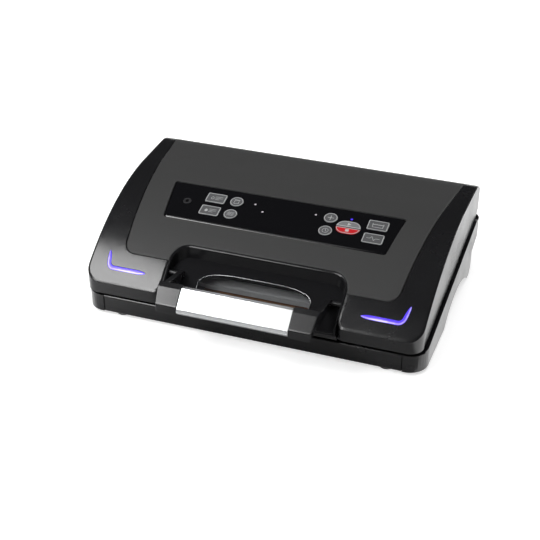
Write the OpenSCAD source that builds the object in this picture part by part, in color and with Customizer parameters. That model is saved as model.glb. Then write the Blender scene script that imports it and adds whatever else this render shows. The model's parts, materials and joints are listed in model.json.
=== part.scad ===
/* [Lid] */
// Width of the lid at its rear
lid_rear_w = 400; // [380:1:430]
// Width of the lid at its front
lid_front_w = 386; // [376:1:400]
// Distance from the base's front face back to the lid's rear face
lid_rear_y = 260; // [258:0.5:264]
// How far the lid's front stands ahead of the base's front face
lid_front_overhang = 5; // [3:0.5:8]
// Height of the lid's flat rear roof above the table
lid_top_z = 112; // [110:0.5:116]
// Radius of the curve that drops from the roof to the front
lid_curve_r = 285; // [270:1:300]
// Where that curve leaves the flat roof, measured back from the base's front face
lid_curve_y = 177; // [170:1:184]
// Radius where the roof turns down into the rear face
lid_rear_r = 29; // [24:1:29]
// Height of the lid's lower edge at the front
lid_edge_z = 31; // [30.5:0.25:32]
// Radius of the lid's front corners seen from above
lid_corner_r = 16; // [10:1:24]
// Radius of the lid's rear corners seen from above
lid_plan_r = 9; // [6:0.5:11]
// Wall of the lid's mouldings
lid_wall = 2.5; // [2:0.1:2.8]
// Width of the frame's border beside the cover at the cover's rear edge
cover_rear_margin = 15.5; // [13:0.25:20]
// Width of the frame's border beside the cover near its front edge
cover_front_margin = 35; // [30:0.5:40]
// Front edge of the cover panel
cover_front_y = 27.5; // [26.5:0.5:29]
// Radius of the cover panel's front corners
cover_corner_r = 14; // [8:1:20]
// Shadow groove between cover and frame
cover_groove = 0.6; // [0.4:0.1:1]
// Thickness of the inner liner
liner_t = 2.5; // [2:0.1:3]

/* [Handle recess] */
// Width of the recess between its outer edges at the rear
recess_w = 206; // [202:1:212]
// Rear edge of the recess
recess_rear_y = 49; // [47:0.5:52]
// Radius of the recess's rear corners
recess_r = 20; // [14:1:24]
// Width of the recess's rim and thickness of its walls
recess_rim = 4; // [3.5:0.25:5]
// How far the front of the recess floor lies below the lid's roof
recess_lip = 7.8; // [7.4:0.1:8.8]
// Slope of the recess floor in degrees
recess_floor_tilt = 28.8; // [28:0.1:29.2]
// Thickness of the recess floor
recess_floor_t = 2.5; // [2:0.1:3]
// Width of the viewing window
window_w = 130; // [110:1:140]
// Depth of the viewing window from its front edge to its rear edge
window_d = 41; // [34:0.5:43]
// Height of the rounded shoulders at the window's rear
window_rise = 15; // [10:0.5:20]
// Thickness of the window pane
window_t = 2; // [1.5:0.1:2.4]

/* [Control panel] */
// Width of the panel along its rear edge
panel_rear_w = 279; // [270:1:284]
// Width of the panel along its front edge
panel_front_w = 261; // [254:1:268]
// Depth of the panel
panel_d = 61; // [59:0.5:63]
// Corner radius of the panel
panel_r = 3.5; // [2:0.5:6]
// Thickness of the panel
panel_t = 3; // [2.5:0.1:3.5]
// Middle of the panel, measured back from the base's front face
panel_y = 108.2; // [106.2:0.1:110]
// How far the middle of the panel lies below the roof's top
panel_drop = 10.2; // [9.8:0.1:10.8]
// Tilt of the panel in degrees
panel_tilt = 13.3; // [12.5:0.1:14]
// Length of a rectangular key
key_w = 23.5; // [20:0.5:25]
// Height of a rectangular key
key_h = 15.5; // [13:0.5:16.5]
// Diameter of a round key
round_key_d = 15.6; // [13:0.2:17]
// Length of the oval start and stop pair
oval_w = 28; // [24:0.5:30]
// Height of the oval start and stop pair
oval_h = 20; // [18:0.5:22]
// Gap all round a key
key_gap = 0.25; // [0.15:0.05:0.4]
// How far a key stands above the panel
key_proud = 0.5; // [0.3:0.1:1]
// How far a key travels
key_travel = 0.6; // [0.4:0.1:0.8]
// Bore of the accessory port
port_bore_d = 5; // [4:0.1:6]
// Outside diameter of the accessory port's bush
port_d = 9.6; // [9:0.1:11]

/* [Base] */
// How far the base stands out past the lid on each side at the front
base_front_out = 4; // [2:0.5:6]
// How far the base stands out past the lid on each side at the rear
base_rear_out = 3; // [1:0.5:5]
// Rear face of the base
base_rear_y = 261; // [258:0.5:264]
// Height of the rubber feet
foot_h = 4; // [3:0.5:5]
// Diameter of a rubber foot
foot_d = 18; // [14:1:22]
// Height of the flat front of the deck
deck_z = 25; // [24.5:0.25:25.5]
// Depth of the flat front of the deck
deck_flat = 21; // [18:0.5:24]
// Rise of the deck per millimetre behind its flat front
deck_rise = 0.17; // [0.165:0.001:0.175]
// Radius of the base's front corners seen from above
base_front_r = 22; // [16:1:26]
// Radius of the base's rear corners seen from above
base_rear_r = 14; // [10:1:20]
// Wall of the base's mouldings
base_wall = 2.5; // [2:0.1:3]
// Width of the front panel between its end seams
front_panel_w = 347; // [330:1:352]
// Height of the finger grips in the sides
grip_z = 23; // [18:0.5:26]
// Radius of the finger grips' arch
grip_r = 95; // [90:1:120]

/* [Sealing and chamber] */
// Length of the heating strip
seal_l = 300; // [280:1:306]
// Width of the heating strip
seal_w = 5; // [3:0.5:6]
// Middle of the heating strip behind the deck's flat front
seal_v = 25.5; // [24:0.5:27]
// Width of the press bar and of the heating strip's carrier
press_w = 14; // [12:0.5:15]
// Height of the press bar above the liner's underside
press_h = 7; // [5:0.5:9]
// Length of the vacuum chamber
chamber_l = 292; // [270:1:300]
// Front-to-back size of the vacuum chamber
chamber_d = 36; // [30:1:40]
// Depth of the vacuum chamber
chamber_depth = 14; // [12:0.5:16]
// Front edge of the chamber behind the deck's flat front
chamber_v = 44; // [43:0.5:50]
// Width of a gasket
gasket_w = 4; // [3:0.25:4.5]

/* [Handle] */
// Pivot of the handle, measured back from the base's front face
pivot_y = 22; // [21:0.25:23]
// How far the handle's pivot lies below the lid's roof above it
pivot_drop = 7.55; // [7.3:0.05:7.75]
// Diameter of the latch shafts
shaft_d = 5; // [4:0.5:5]
// Length of the silver bar
bar_l = 124; // [110:1:130]
// Width of the silver bar's face
bar_face = 30.5; // [26:0.5:32]
// Thickness of the silver bar
bar_t = 8; // [6:0.5:9]
// Middle of the bar's face ahead of the base's front face
bar_reach = 38; // [34:0.5:44]
// How far the middle of the bar's face stands above the pivot
bar_rise = 8.9; // [5.4:0.5:13.4]
// Tilt of the bar's face in degrees
bar_tilt = 43.7; // [40:0.5:50]
// Width across the two end caps
handle_w = 180; // [170:1:186]
// Thickness of an arm
arm_t = 8; // [6:0.5:9]

/* [Hinge] */
// Hinge axis, measured back from the base's front face
hinge_y = 247; // [246:0.25:248]
// Height of the hinge axis
hinge_z = 76.5; // [76:0.25:77]
// Diameter of the hinge pins
hinge_pin_d = 5; // [4:0.5:6]
// Middle of each hinge from the machine's centre line
hinge_x = 140; // [120:1:150]
// Width of the lid's hinge knuckle
knuckle_w = 22; // [16:1:28]

/* [Hidden] */
$fn = 96;
eps = 0.01;
far = 600;
seat_gap = 0.1;          // between pieces that are screwed or clipped together
run_gap = 0.05;          // between a shaft and its bore, on the radius
part_gap = 0.3;          // between soft pieces and what they meet

// ---- derived widths ------------------------------------------------------------------
cover_front_w = lid_front_w - 2 * cover_front_margin;
cover_rear_w = lid_rear_w - 2 * cover_rear_margin;
base_front_w = lid_front_w + 2 * base_front_out;
base_rear_w = lid_rear_w + 2 * base_rear_out;
lid_front_y = -lid_front_overhang;
cover_rear_y = lid_rear_y - 12;

// half a width at a depth, for an outline that widens evenly from its front to its rear
function half_at(y, front_w, rear_w, front_y, rear_y) =
    (front_w + (rear_w - front_w) * (y - front_y) / (rear_y - front_y)) / 2;
function base_half(y) = half_at(y, base_front_w, base_rear_w, 0, base_rear_y);
function border_mid(y) = (half_at(y, lid_front_w, lid_rear_w, lid_front_y, lid_rear_y)
                        + half_at(y, cover_front_w, cover_rear_w, cover_front_y, cover_rear_y)) / 2;

// ---- derived heights and places -------------------------------------------------
deck_tilt = atan(deck_rise);
lid_curve_z = lid_top_z - lid_curve_r;
recess_floor_z = lid_top(lid_front_y) - recess_lip;
panel_z = lid_top_z - panel_drop;
pivot_z = lid_top(pivot_y) - pivot_drop;
bar_z = pivot_z + bar_rise;
lid_edge_rear_y = hinge_y - 3;
lid_edge_rear_z = edge_z(lid_edge_rear_y);
lid_rear_low_z = hinge_z + 3.5;
base_z = foot_h;
shelf_z = hinge_z - 12;
rim_drop = 2;
grip_x = base_front_w / 2 - 25;
grip_y = 150;
foot_wall_y = base_rear_y - 38;
undercut_low_z = foot_h + 28;
undercut_high_z = foot_h + 42;

slot_h = lid_edge_z - deck_z;                 // height of the bag slot
seal_stack = (slot_h - part_gap) / 2;         // what the carrier and the press strip share
tape_t = 0.2;
element_t = 0.3;

recess_front_w = recess_w - 6;
window_front = 4;                              // from the lid's front up the floor

key_flange = 1;
key_flange_t = 1.2;
board_drop = 9.4;                              // panel's face to the board
board_t = 1.6;
board_x = 12;                                  // clear of the accessory port
board_side = 31;                               // how much shorter than the panel the board is
board_edge = 10;
key_stem = 6.2;                                // panel's face to the key's foot
row_v = 10.8;                                  // keys above and below the panel's middle
row_shift = 1.2;                               // and how far both rows sit behind it
mode_key_x = -81.5;
side_key_x = 111;
round_key_x = 56.3;
oval_x = 79.7;
port_x = -113;
port_bush_l = 16;
lens_r = 1.2;

shaft_r = shaft_d / 2;
boss_r = shaft_r + 1.5;
hook_x = seal_l / 2 + 10;
hook_t = 5;
hook_drop = 16;
hook_rim = 0.7;
hook_toe = 3.4;
striker_x = hook_x + hook_t / 2;
tongue_y = pivot_y + hook_toe + 1.3;
tongue_z = pivot_z - hook_drop + 2.2;
tongue_t = 3;
striker_l = 12;

knuckle_r = 6;
ear_w = 7;
ear_gap = 0.4;

pump_x = 122;
pump_y = 186;
pump_z = base_z + 24;
pump_r = 16;
hose_r = 4;
hose_bore_r = 2.5;
nozzle_x = chamber_l / 2 - 14;
nozzle_v = chamber_v + chamber_d / 2;
fan_x = 20;
fan_size = 40;
fan_t = 12;
fan_y = foot_wall_y - base_wall - part_gap - fan_t / 2;
fan_z = base_z + 9 + fan_size / 2;
inlet_x = -150;
transformer_x = -120;
transformer_y = 188;
power_board_x = -35;
power_board_y = 140;
vent_w = 2;
vent_step = 5;
floor_t = 2.5;
groove_in = 1.1;                               // how deep a gasket sits in its groove
carrier_in = 1.5;
screw_d = 3.2;
screw_head_d = 6.4;
screw_head_t = 1.4;
screw_l = 8;
post_r = 4;
frame_posts = [for (y = [60, 150, 222]) [border_mid(y) - 0.7, y]];
cover_posts = [[60, 160], [60, 222], [125, 200]];
side_post_in = 37.5;                            // from the base's side to its outer posts
base_posts = [for (y = [60, 150]) [base_half(y) - side_post_in, y], [60, 112], [46, 206]];
foot_in = 43;                                   // from the base's side to a foot's middle
foot_places = [for (y = [13, 192]) [base_half(y) - foot_in, y]];
striker_post = 4;
striker_post_y = tongue_y + striker_l - striker_post;
shaft_end_x = hook_x + 21;
rib_places = [recess_w / 2 + 15, hook_x + 18];
crank_r = 2;
hose_w = -22.5;                                  // the hose's line below the deck
barb_v = 134;
hose_end_v = barb_v + 8;
fan_pin_r = 1;
inlet_w = 22;
inlet_h = 15;
inlet_z = base_z + 9.5;

cap_proud = 0.8;
led_board_t = 0.6;
corner_steps = 9;                              // flats in a round corner of a plan
light_w = 3;                                   // the light strip and its line behind the front face
light_y = 10;
window_steps = 16;                             // flats in half of the window's rear edge
roof_trim = 0.03;                              // the curve starts a hair above the flat roof
plan_trim = 0.5;                               // the side outline runs on, and the plan trims it
cap_r = 2.5;
front_most = -bar_reach - (bar_face / 2 + 1.5 - cap_r) * cos(bar_tilt)
           - (cap_proud - cap_r) * sin(bar_tilt) - cap_r;
y_shift = -(base_rear_y + front_most) / 2;     // puts the origin in the middle of the footprint

function edge_z(y) = lid_edge_z + deck_rise * max(0, y - deck_flat);
function deck_top(y) = deck_z + deck_rise * max(0, y - deck_flat);
function lid_top(y) = y > lid_curve_y ? lid_top_z
                    : lid_curve_z + sqrt(pow(lid_curve_r, 2) - pow(lid_curve_y - y, 2));

// ---- shared outlines ---------------------------------------------------------------
module machine() { translate([0, y_shift, 0]) children(); }
module mirror_x() { children(); mirror([1, 0, 0]) children(); }

// stands a drawing of depth and height upright and pulls it along the width
module along_x(from, to) {
    translate([from, 0, 0]) rotate([90, 0, 90]) linear_extrude(to - from) children();
}

module on_deck() { translate([0, deck_flat, deck_z]) rotate([deck_tilt, 0, 0]) children(); }
module on_liner() { translate([0, deck_flat, lid_edge_z]) rotate([deck_tilt, 0, 0]) children(); }
module on_panel() { translate([0, panel_y, panel_z]) rotate([panel_tilt, 0, 0]) children(); }
module on_floor() {
    translate([0, lid_front_y, recess_floor_z]) rotate([recess_floor_tilt, 0, 0]) children();
}
module on_bar() { translate([0, -bar_reach, bar_z]) rotate([bar_tilt, 0, 0]) children(); }

module box(x0, x1, y0, y1, z0, z1) { translate([x0, y0, z0]) cube([x1 - x0, y1 - y0, z1 - z0]); }

module round_rect(w, h, r) {
    square([w - 2 * r, h], center = true);
    square([w, h - 2 * r], center = true);
    for (x = [-1, 1], y = [-1, 1]) translate([x * (w / 2 - r), y * (h / 2 - r)]) circle(r);
}

// a plan that widens towards the rear, with a round at each corner
module taper_plan(front_w, rear_w, front_y, rear_y, front_r, rear_r) {
    lean = atan((rear_w - front_w) / 2 / (rear_y - front_y));
    front_cx = front_w / 2 + front_r * tan(lean) - front_r / cos(lean);
    rear_cx = rear_w / 2 - rear_r * tan(lean) - rear_r / cos(lean);
    right = concat(arc_points(front_cx, front_y + front_r, front_r, -90, -lean),
                   arc_points(rear_cx, rear_y - rear_r, rear_r, -lean, 90));
    last = len(right) - 1;
    polygon(concat(right, [for (i = [last:-1:0]) [-right[i][0], right[i][1]]]));
}

function arc_points(x, y, r, from, to) =
    [for (i = [0:corner_steps]) let (a = from + (to - from) * i / corner_steps)
        [x + r * cos(a), y + r * sin(a)]];

// ---- lid: the outline that all its mouldings share ---------------------------------
module lid_side(inset) {
    front = lid_front_y + inset - plan_trim;
    rear = lid_rear_y - inset + plan_trim;
    roof = lid_top_z - inset;
    round_y = rear + inset - lid_rear_r;
    round_z = lid_top_z - lid_rear_r;
    low = 8 * inset;
    intersection() {
        union() {
            translate([lid_curve_y, lid_curve_z]) circle(lid_curve_r - inset + roof_trim, $fn = 400);
            translate([lid_curve_y, 0]) square(far);
        }
        polygon([[front, lid_edge_z - low], [deck_flat, lid_edge_z - low],
                 [lid_edge_rear_y, lid_edge_rear_z - low], [rear, lid_rear_low_z - low],
                 [rear, far], [front, far]]);
        union() {
            polygon([[front, -low], [rear, -low], [rear, round_z], [round_y, round_z],
                     [round_y, roof], [front, roof]]);
            translate([round_y, round_z]) intersection() {
                circle(lid_rear_r - inset);
                translate([-1, -0.2]) square(far);
            }
        }
    }
}

module lid_solid(inset) {
    intersection() {
        along_x(-far / 2, far / 2) lid_side(inset);
        linear_extrude(lid_top_z + 10)
            taper_plan(lid_front_w - 2 * inset, lid_rear_w - 2 * inset, lid_front_y + inset,
                       lid_rear_y - inset, lid_corner_r - inset, lid_plan_r - inset);
    }
}

module lid_layer(outer, inner) {
    difference() {
        lid_solid(outer);
        lid_solid(inner);
    }
}

module cover_plan(grow) {
    taper_plan(cover_front_w + 2 * grow, cover_rear_w + 2 * grow, cover_front_y - grow, cover_rear_y + grow,
               cover_corner_r + grow, max(3 + grow, 1));
}

module recess_plan(grow) {
    taper_plan(recess_front_w + 2 * grow, recess_w + 2 * grow, lid_front_y - 40,
               recess_rear_y + grow, 1, recess_r + grow);
}

module recess_prism(grow, below) {
    intersection() {
        linear_extrude(far / 2) recess_plan(grow);
        on_floor() translate([-far / 2, -far / 2, -below]) cube(far);
    }
}

module panel_plan(grow) {
    taper_plan(panel_front_w + 2 * grow, panel_rear_w + 2 * grow, -panel_d / 2 - grow,
               panel_d / 2 + grow, panel_r + max(grow, -1), panel_r + max(grow, -1));
}

// straight at the front and the ends, nearly flat at the rear, with rounded shoulders between
function window_rear(share) = window_front + window_d - window_rise
                            + window_rise * sqrt(1 - pow(abs(share), 4));

module window_plan(grow) {
    half = window_w / 2 + grow;
    shares = [for (i = [-window_steps:window_steps]) sin(90 * i / window_steps)];
    polygon(concat([[half, window_front - grow], [half, window_rear(1) + grow / 2]],
                   [for (i = [len(shares) - 2:-1:1]) [shares[i] * half, window_rear(shares[i]) + grow]],
                   [[-half, window_rear(1) + grow / 2], [-half, window_front - grow]]));
}

// an L of light along the front and round the corner, its arm leaning out to the rear
module light_plan(grow) {
    bend_r = 7;
    lean = 15.6;
    front_l = 39.4;
    arm_l = 12.3;
    half = light_w / 2 + grow;
    bend_x = lid_front_w / 2 - 29.6;
    bend_y = light_y + bend_r;
    function tip(side) = [
        bend_x + (bend_r + side * half) * cos(lean) + (arm_l + grow) * sin(lean),
        bend_y - (bend_r + side * half) * sin(lean) + (arm_l + grow) * cos(lean)];
    polygon(concat([[bend_x - front_l - grow, light_y - half]],
                   arc_points(bend_x, bend_y, bend_r + half, -90, -lean),
                   [tip(1), tip(-1)],
                   arc_points(bend_x, bend_y, bend_r - half, -lean, -90),
                   [[bend_x - front_l - grow, light_y + half]]));
}

module light_solid(grow, outer, inner) {
    intersection() {
        lid_layer(outer, inner);
        linear_extrude(far / 2) light_plan(grow);
    }
}

// ---- lid mouldings --------------------------------------------------------------------
module hinge_room() {
    half = knuckle_w / 2 + ear_w + 1;
    mirror_x() difference() {
        box(hinge_x - half, hinge_x + half, hinge_y - 9, lid_rear_y + 1, shelf_z - 10, hinge_z + 8);
        box(hinge_x - knuckle_w / 2, hinge_x + knuckle_w / 2, hinge_y - 9.5, hinge_y,
            hinge_z - 1, hinge_z + 9);
    }
}

module hinge_knuckles() {
    mirror_x() difference() {
        union() {
            translate([hinge_x, hinge_y, hinge_z]) rotate([0, 90, 0])
                cylinder(r = knuckle_r, h = knuckle_w, center = true);
            intersection() {
                lid_solid(lid_wall + 0.5);
                box(hinge_x - knuckle_w / 2, hinge_x + knuckle_w / 2, hinge_y - 3, hinge_y + 3,
                    hinge_z, lid_top_z);
            }
        }
        translate([hinge_x, hinge_y, hinge_z]) rotate([0, 90, 0])
            cylinder(d = hinge_pin_d + 2 * run_gap, h = knuckle_w + 2, center = true);
    }
}

module shaft_ribs() {
    for (x = rib_places) intersection() {
        lid_solid(lid_wall - 0.5);
        difference() {
            box(x, x + 3, pivot_y - 9, cover_front_y - 0.6, pivot_z - 14, far / 4);
            translate([x - 1, pivot_y, pivot_z]) rotate([0, 90, 0])
                cylinder(r = shaft_r + run_gap, h = 5);
        }
    }
}

module screw_posts(places) {
    for (p = places) translate([p[0], p[1], 0]) difference() {
        translate([0, 0, edge_z(p[1] + post_r) + liner_t + seat_gap]) cylinder(r = post_r, h = far / 4);
        cylinder(d = screw_d + 2 * run_gap, h = edge_z(p[1]) + liner_t + screw_l);
    }
}

module lid_frame() color("#1c1c1e") {
    ledge = 6;
    difference() {
        union() {
            difference() {
                lid_layer(0, lid_wall);
                linear_extrude(far / 2) cover_plan(0);
            }
            intersection() {
                lid_layer(lid_wall, 2 * lid_wall);
                linear_extrude(far / 2) difference() {
                    cover_plan(3);
                    cover_plan(-ledge);
                }
            }
            mirror_x() shaft_ribs();
            intersection() {
                lid_solid(1);
                mirror_x() screw_posts(frame_posts);
            }
        }
        recess_prism(seat_gap, recess_floor_t + seat_gap);
        mirror_x() light_solid(seat_gap, -1, lid_wall + 1);
        hinge_room();
    }
    hinge_knuckles();
}

module lid_cover() color("#2b2b2d") {
    pocket_wall = 2.5;
    difference() {
        union() {
            intersection() {
                lid_layer(0, lid_wall - seat_gap);
                linear_extrude(far / 2) cover_plan(-cover_groove);
            }
            intersection() {
                lid_solid(0);
                on_panel() translate([0, 0, -panel_t - pocket_wall]) linear_extrude(panel_t + 6)
                    panel_plan(pocket_wall);
            }
            intersection() {
                lid_solid(1);
                mirror_x() screw_posts(cover_posts);
            }
        }
        on_panel() {
            translate([0, 0, -panel_t - seat_gap]) linear_extrude(20) panel_plan(seat_gap);
            translate([0, 0, -20]) linear_extrude(25) panel_plan(-3);
        }
        recess_prism(seat_gap, 40);
    }
}

module recess_pan() color("#141416") {
    difference() {
        intersection() {
            lid_solid(0);
            recess_prism(0, recess_floor_t);
        }
        recess_prism(-recess_rim, 0);
        on_floor() translate([0, 0, -10]) linear_extrude(20) window_plan(seat_gap);
        mirror_x() translate([recess_front_w / 2 - 10, pivot_y, pivot_z]) rotate([0, 90, 0])
            cylinder(r = shaft_r + run_gap, h = 20);
    }
}

module viewing_window() color("#9fb4bd", 0.5) {
    on_floor() translate([0, 0, -window_t]) linear_extrude(window_t) window_plan(0);
}

// the lid's lower edge lifted by a height and followed back up the slope
module liner_side(low, high, front, rear) {
    polygon([[front, edge_z(front) + low], [deck_flat, edge_z(deck_flat) + low],
             [rear, edge_z(rear) + low], [rear, edge_z(rear) + high],
             [deck_flat, edge_z(deck_flat) + high], [front, edge_z(front) + high]]);
}

module lid_liner() color("#26262a") {
    front = lid_front_y + lid_wall + seat_gap;
    rear = lid_edge_rear_y - 12;
    inset = lid_wall + 0.3;
    difference() {
        intersection() {
            along_x(-far / 2, far / 2) liner_side(0, liner_t, front, rear);
            linear_extrude(far / 2) taper_plan(lid_front_w - 2 * inset, lid_rear_w - 2 * inset,
                lid_front_y + inset, lid_rear_y - inset, lid_corner_r - inset, 3);
        }
        box(-window_w / 2, window_w / 2, 3, deck_flat + chamber_v - 8, lid_edge_z - 5, far / 4);
        on_liner() translate([0, seal_v, 0])
            box(-seal_l / 2 - 4, seal_l / 2 + 4, -press_w / 2, press_w / 2, -5, liner_t + 5);
        mirror_x() box(striker_x - 5, striker_x + 5, tongue_y - 4, tongue_y + striker_l + 6,
                       lid_edge_z - 5, far / 4);
        on_liner() gasket_ring(0.2, -1, 1.2);
        mirror_x() for (p = concat(frame_posts, cover_posts)) translate([p[0], p[1], 0])
            cylinder(d = screw_d + 0.4, h = far / 4);
    }
}

module press_bar() color("#b9bcc0") {
    wall = 1.6;
    on_liner() translate([0, seal_v, 0]) difference() {
        union() {
            box(-seal_l / 2 - 3.6, seal_l / 2 + 3.6, -press_w / 2 + seat_gap, press_w / 2 - seat_gap,
                0, press_h);
            box(-seal_l / 2 - 8, seal_l / 2 + 8, -press_w / 2 + seat_gap, press_w / 2 - seat_gap,
                liner_t + seat_gap, liner_t + 2);
        }
        box(-seal_l / 2 - 2, seal_l / 2 + 2, -press_w / 2 + wall, press_w / 2 - wall, -1, press_h - wall);
        for (y = [-1, 1]) translate([0, y * (press_w / 2 - 3), press_h])
            cube([seal_l + 20, 0.8, 0.8], center = true);
    }
}

module press_strip() color("#6b3f2a") {
    wall = 1.6;
    on_liner() translate([0, seal_v, 0])
        box(-seal_l / 2 - 1.8, seal_l / 2 + 1.8, -press_w / 2 + wall + seat_gap, press_w / 2 - wall - seat_gap,
            -seal_stack, press_h - wall - seat_gap);
}

// a ring round the chamber
module gasket_ring(grow, from, to) {
    margin = 2.5;
    w = chamber_l + 2 * (margin + gasket_w);
    d = chamber_d + 2 * (margin + gasket_w);
    translate([0, chamber_v + chamber_d / 2, from]) linear_extrude(to - from) difference() {
        round_rect(w + 2 * grow, d + 2 * grow, 8 + grow);
        round_rect(w - 2 * gasket_w - 2 * grow, d - 2 * gasket_w - 2 * grow, 8 - gasket_w - grow);
    }
}

module upper_gasket() color("#3a3a3c") {
    on_liner() gasket_ring(0, -seal_stack, 1.1);
}

module key_hole_plans(grow) {
    for (v = [-row_v, row_v]) {
        for (x = [mode_key_x, side_key_x]) translate([x, v + row_shift])
            round_rect(key_w + 2 * grow, key_h + 2 * grow, 2 + grow);
        for (x = [-round_key_x, round_key_x]) translate([x, v + row_shift]) circle(round_key_d / 2 + grow);
    }
    for (half = [-1, 1]) half_oval_plan(half, grow);
}

// one half of the oval pair: 1 is the upper half, -1 the lower
module half_oval_plan(half, grow) {
    split = 0.6;
    translate([oval_x, row_shift]) intersection() {
        union() {
            square([oval_w - oval_h + 2, oval_h + 2 * grow], center = true);
            for (side = [-1, 1]) translate([side * (oval_w - oval_h) / 2, 0]) circle(oval_h / 2 + grow);
        }
        translate([-far / 2, half > 0 ? split - grow : -far - split + grow]) square(far);
    }
}

module control_panel() color("#0c0c0e") {
    difference() {
        on_panel() {
            translate([0, 0, -panel_t]) linear_extrude(panel_t) panel_plan(0);
            for (x = [-100, -30, 30, 124], v = [-22, 22])
                translate([x, v, -board_drop + seat_gap]) cylinder(r = 2, h = board_drop - panel_t);
        }
        on_panel() {
            translate([0, 0, -panel_t - 1]) linear_extrude(panel_t + 2) key_hole_plans(key_gap);
            translate([port_x, 0, -panel_t - 1]) cylinder(d = port_d + 2 * seat_gap, h = panel_t + 2);
            for (p = lens_places()) translate([p[0], p[1], -panel_t - 1])
                cylinder(r = lens_r + seat_gap, h = panel_t + 2);
        }
    }
}

function lens_places() = [[-34, 13.2], [38.4, 13.2], [-22, 3], [oval_x, 15.5]];

module indicator_lenses() color("#3f6fd8") {
    on_panel() for (p = lens_places()) translate([p[0], p[1], -panel_t - 1]) {
        cylinder(r = lens_r, h = panel_t + 1);
        cylinder(r = lens_r + 0.8, h = 1 - seat_gap);
    }
}

module control_board() color("#1f5b3a") {
    on_panel() {
        translate([board_x, 0, -board_drop - board_t / 2])
            cube([panel_front_w - board_side, panel_d - board_edge, board_t], center = true);
        for (p = key_places()) translate([p[0], p[1], -board_drop])
            cylinder(r = 2, h = board_drop - key_stem - key_travel - 0.1);
        for (p = lens_places()) translate([p[0], p[1], -board_drop])
            cylinder(r = 1, h = board_drop - panel_t - 1.3);
    }
}

function key_places() = concat(
    [for (x = [mode_key_x, side_key_x, -round_key_x, round_key_x], v = [-row_v, row_v]) [x, v + row_shift]],
    [[oval_x, row_shift + oval_h / 4], [oval_x, row_shift - oval_h / 4]]);

// a key from its own outline: cap through the panel, flange beneath it, stem to the switch
module key_body() {
    translate([0, 0, -panel_t - 2 * seat_gap]) linear_extrude(panel_t + 2 * seat_gap + key_proud) children(0);
    translate([0, 0, -panel_t - key_flange_t - seat_gap]) linear_extrude(key_flange_t) children(1);
}

module key_stem_at(x, v) {
    translate([x, v, -key_stem]) cylinder(r = 2.5, h = key_stem - panel_t);
}

module rect_key(x, v) {
    on_panel() {
        key_body() {
            translate([x, v + row_shift]) round_rect(key_w, key_h, 2);
            translate([x, v + row_shift]) round_rect(key_w + 2 * key_flange, key_h + 2 * key_flange, 3);
        }
        key_stem_at(x, v + row_shift);
    }
}

module round_key(x, v) {
    on_panel() {
        key_body() {
            translate([x, v + row_shift]) circle(round_key_d / 2);
            translate([x, v + row_shift]) circle(round_key_d / 2 + key_flange);
        }
        key_stem_at(x, v + row_shift);
    }
}

module half_key(half) {
    on_panel() {
        key_body() {
            half_oval_plan(half, 0);
            half_oval_plan(half, 0.4);
        }
        key_stem_at(oval_x, row_shift + half * oval_h / 4);
    }
}

module mode_key_1() color("#5a5c5e") rect_key(mode_key_x, row_v);
module mode_key_2() color("#5a5c5e") rect_key(mode_key_x, -row_v);
module side_key_1() color("#5a5c5e") rect_key(side_key_x, row_v);
module side_key_2() color("#5a5c5e") rect_key(side_key_x, -row_v);
module round_key_1() color("#5a5c5e") round_key(-round_key_x, row_v);
module round_key_2() color("#5a5c5e") round_key(-round_key_x, -row_v);
module round_key_3() color("#5a5c5e") round_key(round_key_x, row_v);
module round_key_4() color("#5a5c5e") round_key(round_key_x, -row_v);
module start_key() color("#77797b") half_key(1);
module stop_key() color("#b3121d") half_key(-1);

module light_strip_right() color("#8f7bff") light_solid(0, 0, lid_wall);
module light_strip_left() color("#8f7bff") mirror([1, 0, 0]) light_solid(0, 0, lid_wall);
module led_boards() color("#1f5b3a") mirror_x() light_solid(1, lid_wall + seat_gap, lid_wall + led_board_t);

module port_bush() color("#3c3c40") {
    on_panel() translate([port_x, 0, 0]) difference() {
        union() {
            translate([0, 0, -port_bush_l]) cylinder(d = port_d, h = port_bush_l + 0.4);
            translate([0, 0, -panel_t - 1.5]) cylinder(d = port_d + 4, h = 1.5 - seat_gap);
        }
        translate([0, 0, -port_bush_l - 1]) cylinder(d = port_bore_d, h = port_bush_l + 3);
    }
}

// the lid's own air line: an elbow over the bush
module port_hose() color("#c9c7bd") {
    wall = 1.6;
    depth = 22;
    r = port_d / 2 + run_gap + wall;
    on_panel() translate([port_x, 0, 0]) difference() {
        union() {
            translate([0, 0, -depth]) cylinder(r = r, h = depth - 8);
            translate([0, 0, -depth + hose_r]) rotate([-90, 0, 0]) cylinder(r = hose_r, h = 30);
        }
        translate([0, 0, -depth + 1.5]) cylinder(r = r - wall, h = depth);
        translate([0, 0, -depth + hose_r]) rotate([-90, 0, 0]) cylinder(r = hose_bore_r, h = 31);
    }
}

module lid_screws() color("#8d8f92") {
    mirror_x() for (p = concat(frame_posts, cover_posts)) translate([p[0], p[1], edge_z(p[1])]) {
        rotate([deck_tilt, 0, 0]) translate([0, 0, -screw_head_t]) cylinder(d = screw_head_d, h = screw_head_t);
        translate([0, 0, -eps]) cylinder(d = screw_d, h = liner_t + screw_l - 0.5);
    }
}

// ---- base ------------------------------------------------------------------------------
module base_side(low) {
    rim_y = hinge_y - 9;
    polygon([[0, low], [0, deck_z], [6, deck_z], [deck_flat, lid_edge_z - rim_drop],
             [rim_y, edge_z(rim_y) - rim_drop], [rim_y + 6, shelf_z], [base_rear_y - 3, shelf_z],
             [base_rear_y, shelf_z - 3], [base_rear_y, undercut_high_z],
             [foot_wall_y, undercut_low_z], [foot_wall_y, base_z + 8], [foot_wall_y - 7, low]]);
}

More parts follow.
